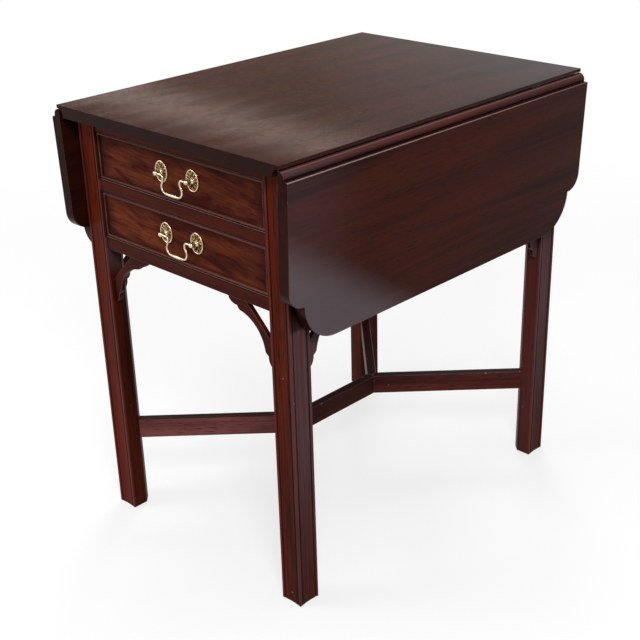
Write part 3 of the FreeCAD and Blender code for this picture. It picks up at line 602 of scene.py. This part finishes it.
def line_leaf(material):
    """Paints a faint sheen on a leaf's round, shade in its two corners and a highlight on its
    shoulder's edge.
    """
    tree = material.node_tree
    place = add(tree, "TexCoord").outputs
    upward = add(tree, "SeparateXYZ", {0: place["Normal"]}).outputs["Z"]
    overlay(material, add(tree, "MapRange", {"Value": upward, **ROUND_SHEEN}), SHEEN_COLOUR)
    for line, reach, share, colour in (LIP_HIGHLIGHT, UNDER_LIP, SHOULDER_CORNER):
        overlay(material, near_line(tree, line, reach, share), colour)
    from_front = add(tree, "SeparateXYZ", {0: place["Object"]}).outputs["Y"]
    pale_share = add(tree, "MapRange", {"Value": from_front, **SHOULDER_HIGHLIGHT_FADE})
    edge = near_line(tree, SHOULDER_EDGE, SHOULDER_REACH, 1.0)
    overlay(material, add(tree, "Math", {0: edge, 1: pale_share}, operation="MULTIPLY"), LEAF_HIGHLIGHT_COLOUR)


for finish in leaf_mahogany.values():
    line_leaf(finish)
print("rule joint lines drawn at the shoulder's edge", SHOULDER_EDGE)


# %% [markdown]
# ## Worn edges with painted highlight
# Handling rubs polish off an edge, so it shows as a thin paler line with a few bare chips; the paler
# line is also a painted highlight, for the light that an edge catches. A bevel rounds each sharp edge
# of the solids and gives its narrow face a second, paler material. The solids arrive as loose
# triangles, so they are first welded and their flat faces joined.

# %% Worn edge finish with painted highlight
EDGE_PATCH, EDGE_CHIP = 0.060, 0.012
EDGE_RUB_HIGHLIGHT_BAND, EDGE_CHIP_BAND = span(0.35, 0.65), span(0.70, 0.74)
EDGE_ROUGHNESS, EDGE_SPECULAR = 0.4, 0.3


def worn_highlit_edge(name, rubbed_highlight, polish, chip):
    """Edge of polished wood: patches of rubbed wear and painted highlight by soft noise, with a few small
    bare chips.
    """
    material, tree = blank_material(name)
    place = add(tree, "TexCoord").outputs["Object"]
    patch = add(tree, "TexNoise", {"Vector": place, "Scale": 1 / EDGE_PATCH, "Detail": 3.0})
    spot = add(tree, "TexNoise", {"Vector": place, "Scale": 1 / EDGE_CHIP, "Detail": 2.0})
    pale_share = add(tree, "MapRange", {"Value": patch, **EDGE_RUB_HIGHLIGHT_BAND})
    body = add(tree, "Mix", {SHARE: pale_share, UNDER: linear(polish), OVER: linear(rubbed_highlight)}, data_type="RGBA")
    bare = add(tree, "MapRange", {"Value": spot, **EDGE_CHIP_BAND})
    colour = add(tree, "Mix", {SHARE: bare, UNDER: body, OVER: linear(chip)}, data_type="RGBA")
    shader = add(tree, "BsdfPrincipled", {"Base Color": colour, "Roughness": EDGE_ROUGHNESS,
                                          "Specular IOR Level": EDGE_SPECULAR})
    add(tree, "OutputMaterial", {"Surface": shader})
    return material


# Rubbed edges: a thin pale brown line, partly wear and partly painted highlight, broken by darker
# polish and a few bare specks.
edge_finish = worn_highlit_edge("mahogany_worn_highlit_edge", rubbed_highlight="#6a3a2f", polish="#4a1d15", chip="#c8a890")
# The leaves' edges are darker, with a fainter pale line.
leaf_edge = worn_highlit_edge("mahogany_leaf_edge", rubbed_highlight="#4d2820", polish="#3a1610", chip="#9a7868")
line_leaf(leaf_edge)
print("edges rubbed in patches of", EDGE_PATCH, "m with chips of", EDGE_CHIP, "m")

# %% Bevels on the solids
WELD_REACH, FLAT_ANGLE, SHARP_ANGLE = 1e-5, math.radians(0.5), math.radians(35)
EDGE_SLOT = 1


def dress(names, finish, edge, ease):
    """Gives solids a finish, and rounds their sharp edges by ease metres in the edge finish."""
    for name in names:
        piece = nodes[name]
        piece.data.materials.clear()
        piece.data.materials.append(finish)
        piece.data.materials.append(edge)
        piece.modifiers.new("merged_corners", "WELD").merge_threshold = WELD_REACH
        flat = piece.modifiers.new("joined_faces", "DECIMATE")
        flat.decimate_type, flat.angle_limit = "DISSOLVE", FLAT_ANGLE
        round_off = piece.modifiers.new("eased_edges", "BEVEL")
        round_off.width, round_off.segments = ease, 2
        round_off.limit_method, round_off.angle_limit = "ANGLE", SHARP_ANGLE
        round_off.material = EDGE_SLOT
        piece.modifiers.new("even_shading", "WEIGHTED_NORMAL").keep_sharp = True


def starting(*starts):
    """The names of the solids that start in one of the given ways."""
    return [name for name in nodes if name.startswith(starts)]


print("edges sharper than", round(math.degrees(SHARP_ANGLE)), "degrees get eased")

# %% Dress the frame, top and leaves
LEG_EASE, BODY_EASE, TOP_EASE, LEAF_EASE = 0.0003, 0.0006, 0.0008, 0.0007
dress(starting("leg_"), leg_mahogany, leg_mahogany, LEG_EASE)
dress(["front_rail_top", "front_rail_middle", "rear_apron"], cross_mahogany, edge_finish, BODY_EASE)
dress(starting("front_rail_bottom", "bracket_front", "bracket_rear"), low_mahogany, edge_finish, BODY_EASE)
dress(starting("side_apron", "bracket_side", "fly_support"), side_mahogany, edge_finish, BODY_EASE)
for name, finish in stretcher_mahogany.items():
    dress([name], finish, edge_finish, BODY_EASE)
dress(["top_board"], top_mahogany, edge_finish, TOP_EASE)
for side, finish in leaf_mahogany.items():
    dress(["leaf_" + side], finish, leaf_edge, LEAF_EASE)
print("solids dressed in mahogany:", sum(1 for o in nodes.values() if o.modifiers))


# %% [markdown]
# ## Drawer fronts
# The drawer fronts are faced with a figured veneer, redder and brighter than the frame, whose grain
# runs slightly downhill. Painted shade darkens them along their edges and towards the right, and the
# lower front is drawn lighter, as painted light from the left. The veneer is the same wood shader with
# its grain tilted, and a painted shade that falls off from each front's own edges.

# %% Shade from the edges
SHADE_COLOUR, EDGE_SHADE, EDGE_SHADE_REACH = "#220906", 0.8, (0.036, 1.0, 0.018)


def room_inside(tree, low, high):
    """How far in from a box's faces a point lies, along each axis: half the box, less the distance from its
    middle. It is below nought outside the box."""
    place = add(tree, "TexCoord").outputs["Object"]
    centred = add(tree, "VectorMath", {0: place, 1: (low + high) / 2}, operation="SUBTRACT")
    aside = add(tree, "VectorMath", {0: centred}, operation="ABSOLUTE")
    return add(tree, "VectorMath", {0: (high - low) / 2, 1: aside}, operation="SUBTRACT")


def shade_edges(material, low, high, right_share):
    """Paints shade on a drawer front towards its edges, where the nearest edge's distance fades it out,
    and slowly from left to right up to the right share."""
    tree = material.node_tree
    shares = add(tree, "VectorMath", {0: room_inside(tree, low, high), 1: EDGE_SHADE_REACH},
                 operation="DIVIDE")
    parts = add(tree, "SeparateXYZ", {0: shares}).outputs
    nearest = add(tree, "Math", {0: parts["X"], 1: parts["Z"]}, operation="MINIMUM")
    depth = add(tree, "MapRange", {"Value": nearest, **span(0.0, 1.0, EDGE_SHADE, 0.0)},
                interpolation_type="SMOOTHSTEP")
    across = add(tree, "SeparateXYZ", {0: add(tree, "TexCoord").outputs["Object"]}).outputs["X"]
    rightward = add(tree, "MapRange", {"Value": across, **span(low.x, high.x, high=right_share)})
    overlay(material, add(tree, "Math", {0: depth, 1: rightward}, operation="MAXIMUM"), SHADE_COLOUR)


print("edge shade reaches", EDGE_SHADE_REACH[0], "m in from the ends,", EDGE_SHADE_REACH[2], "m up and down")

# %% Figured veneer and beads
DRAWERS = ("upper", "lower")
VENEER = dict(dark="#400e08", pore="#1c0604", turn=(0, math.radians(6), 0), roughness=0.34, specular=0.025,
              figure=0.5, lift=0.40, spread=0.42, figure_size=(0.075, 0.018), stripe_size=(0.034, 0.0022))
# The lower front is drawn lighter as painted light, and both darken to the right with painted shade.
VENEER_LIGHT = {"upper": "#70361f", "lower": "#7b3a1f"}
RIGHT_SHADE = {"upper": 0.25, "lower": 0.42}
FRONT_EASE, BEAD_EASE = 0.0004, 0.0003
# Figured veneer: short flame-like ribbons of orange and red-brown under an old satin polish.
for drawer in DRAWERS:
    veneer = wood("mahogany_veneer_" + drawer, light=VENEER_LIGHT[drawer], **VENEER)
    shade_edges(veneer, *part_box(drawer + "_drawer_front"), RIGHT_SHADE[drawer])
    dress([drawer + "_drawer_front"], veneer, edge_finish, FRONT_EASE)
# Cock bead: a thin lip that dusters rub, so it is greyer and shinier than the veneer.
bead_mahogany = wood("mahogany_bead", light="#66332a", dark="#35150f", pore="#1d0907", turn=ALONG_X,
                     roughness=0.3, specular=0.07)
dress([drawer + "_drawer_cock_bead" for drawer in DRAWERS], bead_mahogany, edge_finish, BEAD_EASE)
print("drawer fronts veneered:", DRAWERS, "beads in", bead_mahogany.name)


# %% [markdown]
# ## Painted shade round the drawers
# Painted shade lies in the gap round each drawer, so the rails and legs are dark for a little way beside
# it. The gap itself is in the solids; the painted shade is one more overlay on the finish of what stands
# round the drawer, by a point's distance outside the drawer's box. It stays behind when the drawer is
# pulled.

# %% Painted shade lines on rails and legs
GAP_SHADE_REACH, GAP_SHADE_DEPTH, GAP_SHADE_SHARE = 0.0048, 0.030, 0.9


def paint_gap_shade(material, low, high):
    """Paints shade on what lies just outside a drawer's edge, by the distance out of its box across
    and up.
    """
    tree = material.node_tree
    parts = add(tree, "SeparateXYZ", {0: room_inside(tree, low, high)}).outputs
    nearest = add(tree, "Math", {0: parts["X"], 1: parts["Z"]}, operation="MINIMUM")
    dark = add(tree, "MapRange", {"Value": nearest,
                                  **span(-GAP_SHADE_REACH, -GAP_SHADE_REACH / 2, high=GAP_SHADE_SHARE)})
    front = add(tree, "Math", {0: parts["Y"], 1: -GAP_SHADE_DEPTH}, operation="GREATER_THAN")
    overlay(material, add(tree, "Math", {0: dark, 1: front}, operation="MULTIPLY"), RECESS_SHADE_COLOUR)


for drawer in DRAWERS:
    for finish in (leg_mahogany, cross_mahogany, low_mahogany):
        paint_gap_shade(finish, *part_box(drawer + "_drawer_cock_bead"))
print("gap shade reaches", GAP_SHADE_REACH, "m out from each drawer")


# %% [markdown]
# ## Hidden woods and steel
# What shows only when a drawer is out or a leaf is up is made of plainer stuff: pale maple for the
# drawer boxes, poplar for the runners and blocks, and blackened steel for the hinges and screws. The
# woods are the mahogany shader in other colours, and the steel is a metal with duller patches.

# %% Drawer boxes, runners and hinges
LINING_EASE, RUNNER_EASE, METAL_EASE = 0.0005, 0.0006, 0.0002
DULL_BAND, DULL_ROUGHER = (0.35, 0.7), 0.18
# Maple: pale, close and even, left unpolished inside a drawer.
MAPLE = dict(light="#c9a678", dark="#a98457", pore="#8d6a43", roughness=0.5, specular=0.2)
maple = wood("maple_drawer_lining", turn=ALONG_Y, **MAPLE)
maple_cross = wood("maple_drawer_back", turn=ALONG_X, **MAPLE)
# Poplar: greener and duller than maple, from the plane and never finished.
poplar = wood("poplar_runner", light="#b79a6c", dark="#94794f", pore="#7c6340", turn=ALONG_Y,
              roughness=0.6, specular=0.2)


def metal(name, bright, dull, roughness, patch_size):
    """Metal with soft patches of duller metal of the given size, which are also rougher."""
    material, tree = blank_material(name)
    place = add(tree, "TexCoord").outputs["Object"]
    patch = add(tree, "TexNoise", {"Vector": place, "Scale": 1 / patch_size, "Detail": 4.0})
    share = add(tree, "MapRange", {"Value": patch, **span(*DULL_BAND)})
    colour = add(tree, "Mix", {SHARE: share, UNDER: linear(bright), OVER: linear(dull)}, data_type="RGBA")
    rough = add(tree, "MapRange", {"Value": patch,
                                   **span(*DULL_BAND, roughness, roughness + DULL_ROUGHER)})
    shader = add(tree, "BsdfPrincipled", {"Base Color": colour, "Roughness": rough, "Metallic": 1.0})
    add(tree, "OutputMaterial", {"Surface": shader})
    return material


# Blackened steel: dark grey with a broken shine, as forged and oiled.
steel = metal("blackened_steel", "#6a655f", "#3b3733", roughness=0.38, patch_size=0.006)
dress([n for n in nodes if n.endswith(("side_left", "side_right"))], maple, maple, LINING_EASE)
dress([n for n in nodes if n.endswith(("drawer_back", "drawer_bottom"))], maple_cross, maple_cross,
      LINING_EASE)
dress(["drawer_runners", "drawer_kickers", "drawer_stops", "fly_blocks"], poplar, poplar, RUNNER_EASE)
dress([n for n in nodes if "hinge" in n or n == "fly_pins"], steel, steel, METAL_EASE)
print("solids dressed so far:", sum(1 for o in nodes.values() if o.modifiers))


# %% [markdown]
# ## Brass pulls
# Each drawer has a swan-neck bail hung between two posts, each on a pierced oval roundel. They were
# cast in brass, filed and polished. Castings are round all over, so they are worked out here as
# profiles carried along paths: a round section along the bail's bends, a turned profile round each
# post, and the roundel's rim, petals and scrolls as wires that swell and taper.

# %% Brass finishes
MM = 0.001
POLISHED, PATINATED = 0, 1
# Polished brass: pale gold with a clear shine where hands touch it. Patinated brass: brown in the hollows
# of the casting, and dull.
brass = [metal("polished_cast_brass", "#dfc9b1", "#bfa482", roughness=0.18, patch_size=0.006),
         metal("patinated_cast_brass", "#a88f62", "#564627", roughness=0.3, patch_size=0.003)]
print("brass finishes:", [finish.name for finish in brass])


# %% Shapes carried along a path
def carried(path, wide, high, facing, sides, closed=False):
    """A section carried along a path: at each point an oval, wide in the path's own plane and high along
    facing. Point = path + wide cos(t) side + high sin(t) facing, where side = tangent x facing."""
    tangent = np.roll(path, -1, 0) - np.roll(path, 1, 0) if closed else np.gradient(path, axis=0)
    tangent /= np.linalg.norm(tangent, axis=1, keepdims=True)
    side = np.cross(tangent, facing)
    side /= np.linalg.norm(side, axis=1, keepdims=True)
    turn = np.linspace(0, 2 * np.pi, sides, endpoint=False)
    across = np.cos(turn)[None, :, None] * side[:, None, :] * wide[:, None, None]
    out = np.sin(turn)[None, :, None] * facing[None, None, :] * high[:, None, None]
    return path[:, None, :] + across + out


def grid_faces(rows, columns, closed, first):
    """Quads between neighbouring rows of a grid whose columns run round; closed joins the last row to the
    first, and otherwise each end row is filled by one face."""
    row = np.arange(rows if closed else rows - 1)
    i, j = np.meshgrid(row, np.arange(columns), indexing="ij")
    i2, j2 = (i + 1) % rows, (j + 1) % columns
    quads = np.stack((i * columns + j, i * columns + j2, i2 * columns + j2, i2 * columns + j), 2)
    faces = (quads.reshape(-1, 4) + first).tolist()
    if not closed:
        ends = np.arange(columns) + first
        faces += [ends[::-1].tolist(), (ends + (rows - 1) * columns).tolist()]
    return faces


print("faces of a closed tube of 6 rows with 4 sides:", len(grid_faces(6, 4, True, 0)))


# %% One casting from several surfaces
def casting(name, surfaces, finishes, body, replaced):
    """One mesh piece from several grids of points, each given with whether it closes on itself and with
    the number of its finish."""
    points, faces, tones, first = [], [], [], 0
    for grid, closed, tone in surfaces:
        rows, columns = grid.shape[:2]
        points.append(grid.reshape(-1, 3))
        new_faces = grid_faces(rows, columns, closed, first)
        faces += new_faces
        tones += [tone] * len(new_faces)
        first += rows * columns
    mesh = bpy.data.meshes.new(name)
    mesh.from_pydata(np.concatenate(points).tolist(), [], faces)
    shell = bmesh.new()
    shell.from_mesh(mesh)
    bmesh.ops.recalc_face_normals(shell, faces=shell.faces)
    shell.to_mesh(mesh)
    shell.free()
    mesh.polygons.foreach_set("use_smooth", np.ones(len(mesh.polygons), bool))
    for finish in finishes:
        mesh.materials.append(finish)
    mesh.polygons.foreach_set("material_index", np.array(tones, np.int32))
    piece = bpy.data.objects.new(name, mesh)
    scene.collection.objects.link(piece)
    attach(piece, body)
    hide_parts(replaced)
    print(name, len(mesh.polygons), "faces, replaces", replaced)


print("finishes of a casting:", POLISHED, "polished,", PATINATED, "patinated")


# %% [markdown]
# ## Bails
# A bail is a cast rod that was bent: a pin turns in each post, the neck curves in, out and round a corner,
# and the grip between swells in the middle and has a ring near each end. Bends of a rod are arcs, so the
# right half is a chain of arcs and straight runs, and the left half is its mirror image.

# %% Bends of a bail
def arc(centre, radius, start, end, count):
    """Points on a circle at evenly spaced angles from start to end degrees, as (across, up)."""
    turn = np.radians(np.linspace(start, end, count))
    return np.stack((centre[0] + radius * np.cos(turn), centre[1] + radius * np.sin(turn)), 1)


def run(start, end, height, count):
    """Points spaced evenly along a level line, as (across, up)."""
    return np.stack((np.linspace(start, end, count), np.full(count, height)), 1)


# The right half in millimetres from the middle of the pin line: pin, bend, swan neck, corner, grip.
BAIL_HALF = np.concatenate((
    run(33.25, 24.6, 0.0, 5),
    arc((24.0, -5.3), 5.3, 90, 180, 14),
    arc((30.7, -5.3), 12.0, 184, 215, 9),
    arc((13.09, -17.63), 9.5, 28, -90, 20),
    run(12.5, 0.5, -27.13, 22),
))
print("half a bail:", len(BAIL_HALF), "points")

# %% Swan-neck bails
FRONT = np.array((0.0, -1.0, 0.0))
WIRE, BAIL_SIDES = 1.6, 20
GRIP_BELOW, GRIP_END, GRIP_SWELL = -27.0, 13.09, 0.9
RING_AT, RING_WIDTH, RING_HEIGHT = 11.6, 0.6, 0.4
across, up = np.concatenate((BAIL_HALF, BAIL_HALF[::-1] * (-1, 1))).T
on_grip = up < GRIP_BELOW
swell = np.where(on_grip, 1 - np.minimum(np.abs(across) / GRIP_END, 1) ** 2, 0.0)
ring = np.where(on_grip, np.exp(-((np.abs(across) - RING_AT) / RING_WIDTH) ** 2), 0.0)
bail_radius = (WIRE + GRIP_SWELL * swell + RING_HEIGHT * ring) * MM
for drawer in DRAWERS:
    low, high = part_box(drawer + "_drawer_bail")
    pin = np.array((0.0, (low.y + high.y) / 2, high.z - WIRE * MM))
    path = pin + np.stack((across, np.zeros(len(across)), up), 1) * MM
    tube = carried(path, bail_radius, bail_radius, FRONT, BAIL_SIDES)
    casting(drawer + "_swan_neck_bail", [(tube, False, POLISHED)], brass[:1], drawer + "_bail",
            drawer + "_drawer_bail")


# %% [markdown]
# ## Posts
# Each post was cast and then turned: a ball, a waisted stem on a small collar, and a plain shank through
# the drawer front. A ring on the ball's side is where the bail's pin enters. A turned piece is one profile
# carried round an axis, so the two measures of each point, radius and distance out, are all it needs.

# %% Turned profile of a post
# Radii and distances out of the drawer, in millimetres.
BALL, REACH, SHANK = 4.0, 11.5, 2.0
TURNED_SIDES = 28
ball_angles = np.radians(np.linspace(88, -52, 18))
ball = np.stack((BALL * np.cos(ball_angles), REACH + BALL * np.sin(ball_angles)), 1)
stem = np.array(((2.3, 7.6), (2.2, 6.2), (2.4, 4.9), (3.0, 4.0), (4.1, 3.3), (4.5, 2.7), (4.3, 2.0),
                 (3.4, 1.6), (SHANK, 1.5), (SHANK, -12.0), (SHANK, -20.0)))
post_profile = np.concatenate((ball, stem)) * MM


def turned(profile, centre):
    """A profile of (radius, distance out) turned round an axis that points straight out of the drawer."""
    turn = np.linspace(0, 2 * np.pi, TURNED_SIDES, endpoint=False)
    radius, out = profile[:, 0][:, None], profile[:, 1][:, None]
    x, z = radius * np.cos(turn), radius * np.sin(turn)
    return np.stack((centre[0] + x, centre[1] - out + 0 * x, centre[2] + z), 2)


print("post profile:", len(post_profile), "points")

# %% Ball-headed posts
# In millimetres; the ring is given as its distance from the post's axis, its radius and its wire.
PLATE_HALF = 13.5
PIN_RING, PIN_RING_POINTS, PIN_RING_SIDES = (3.5, 2.1, 0.55), 24, 10


def pull_centres(drawer):
    """Where a drawer's two posts stand on its face, left then right, as points on the wood."""
    low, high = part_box(drawer + "_drawer_pull_roundels")
    inset = PLATE_HALF * MM
    return [np.array((x, high.y, (low.z + high.z) / 2)) for x in (low.x + inset, high.x - inset)]


def pin_ring(centre):
    """A round wire bent into a ring round the bail's pin, on the side of the ball towards the bail."""
    offset, radius, wire = (v * MM for v in PIN_RING)
    turn = np.linspace(0, 2 * np.pi, PIN_RING_POINTS, endpoint=False)
    path = np.stack((np.full(PIN_RING_POINTS, centre[0] - np.sign(centre[0]) * offset),
                     centre[1] - REACH * MM + radius * np.cos(turn), centre[2] + radius * np.sin(turn)), 1)
    thick = np.full(PIN_RING_POINTS, wire)
    return carried(path, thick, thick, np.array((1.0, 0.0, 0.0)), PIN_RING_SIDES, closed=True)


for drawer in DRAWERS:
    surfaces = []
    for centre in pull_centres(drawer):
        surfaces += [(turned(post_profile, centre), False, POLISHED), (pin_ring(centre), True, POLISHED)]
    casting(drawer + "_pull_ball_posts", surfaces, brass[:1], drawer + "_drawer",
            drawer + "_drawer_pull_posts")


# %% [markdown]
# ## Roundels
# Each roundel is a wire rim round a palmette: seven petals fan out over the top, two scrolls curl under
# them, and the lower part is open. The plate could be cut out of a sheet, but a casting is round all
# over, so every rib is a wire of its own, and they meet as they do in the metal.

# %% Ribs of a roundel
# All measures are millimetres from the post's axis, and lift is out of the drawer.
RIM_HALF = np.array((12.4, 15.4))
PETAL_TIP_WIDE, PETAL_TIP_HIGH, PETAL_LIFT, PETAL_LEAN, PETAL_POINTS = 0.45, 0.4, 0.5, 1.3, 14
# Where a scroll starts and ends: angle in degrees, distance from its middle, lift, half width, half height.
SCROLL_START, SCROLL_END = (40, 4.3, 0.9, 0.75, 0.75), (-410, 1.2, 1.3, 0.45, 0.55)
SCROLL_MIDDLE, SCROLL_POINTS = (6.6, -5.6), 48


def rim_reach(angle):
    """Distance from the axis to the rim's middle line, at an angle from straight up."""
    return 1 / np.hypot(np.sin(angle) / RIM_HALF[0], np.cos(angle) / RIM_HALF[1])


def petal(angle, start, end, wide, high):
    """A petal along a straight path from the axis: narrow at both ends and fullest past the middle."""
    share = np.linspace(0, 1, PETAL_POINTS)
    reach = start + (end - start) * share
    swell = np.sin(np.pi * share ** PETAL_LEAN)
    path = np.stack((reach * np.sin(angle), reach * np.cos(angle), PETAL_LIFT + PETAL_LIFT * swell), 1)
    half_wide = PETAL_TIP_WIDE + (wide - PETAL_TIP_WIDE) * swell
    return path, half_wide, PETAL_TIP_HIGH + (high - PETAL_TIP_HIGH) * swell, False


def scroll(side):
    """A wire that winds in towards its own middle over one and a quarter turns, thinning as it goes."""
    angle, radius, lift, wide, high = np.linspace(SCROLL_START, SCROLL_END, SCROLL_POINTS).T
    across = SCROLL_MIDDLE[0] + radius * np.cos(np.radians(angle))
    up = SCROLL_MIDDLE[1] + radius * np.sin(np.radians(angle))
    return np.stack((side * across, up, lift), 1), wide, high, False


def hoop(half, wire, lift, start, end, count):
    """A round wire along an oval, from one angle to another; a full turn closes on itself."""
    closed = end - start >= 360
    turn = np.radians(np.linspace(start, end, count, endpoint=not closed))
    path = np.stack((half[0] * np.cos(turn), half[1] * np.sin(turn), np.full(count, lift)), 1)
    return path, np.full(count, wire), np.full(count, wire), closed


print("the rim passes", round(rim_reach(0.0), 2), "mm above the post's axis")

# %% Pierced roundels
WIRE_SIDES = 12
PETAL_ANGLES = np.radians((0, 28, -28, 56, -56, 84, -84))
rim = hoop(RIM_HALF, wire=1.1, lift=1.1, start=0, end=360, count=72)
ribs = [hoop(RIM_HALF - 2.4, wire=0.5, lift=0.6, start=212, end=328, count=36), scroll(1), scroll(-1)]
ribs += [petal(a, start=4.0, end=rim_reach(a) - 0.4, wide=1.75, high=1.1) for a in PETAL_ANGLES]
ribs += [petal(np.pi, start=9.4, end=15.0, wide=1.2, high=0.9)]
boss = np.array(((0.6, 1.9), (2.6, 1.9), (4.2, 1.8), (5.0, 1.4), (5.3, 0.8), (5.3, 0.05), (2.1, 0.05))) * MM
wires = [(rim, POLISHED)] + [(rib, PATINATED) for rib in ribs]
for drawer in DRAWERS:
    surfaces = []
    for centre in pull_centres(drawer):
        surfaces.append((turned(boss, centre), False, PATINATED))
        for (path, wide, high, closed), tone in wires:
            placed = centre + np.stack((path[:, 0], -path[:, 2], path[:, 1]), 1) * MM
            tube = carried(placed, wide * MM, high * MM, FRONT, WIRE_SIDES, closed)
            surfaces.append((tube, closed, tone))
    casting(drawer + "_pierced_roundels", surfaces, brass, drawer + "_drawer",
            drawer + "_drawer_pull_roundels")


# %% [markdown]
# ## Close
# The nuts behind the drawer fronts take the dull brass, and every solid is then dressed.

# %% Dress the nuts and finish
dress([drawer + "_drawer_pull_nuts" for drawer in DRAWERS], brass[PATINATED], brass[PATINATED], METAL_EASE)
print("solids dressed:", sum(1 for o in nodes.values() if o.modifiers))
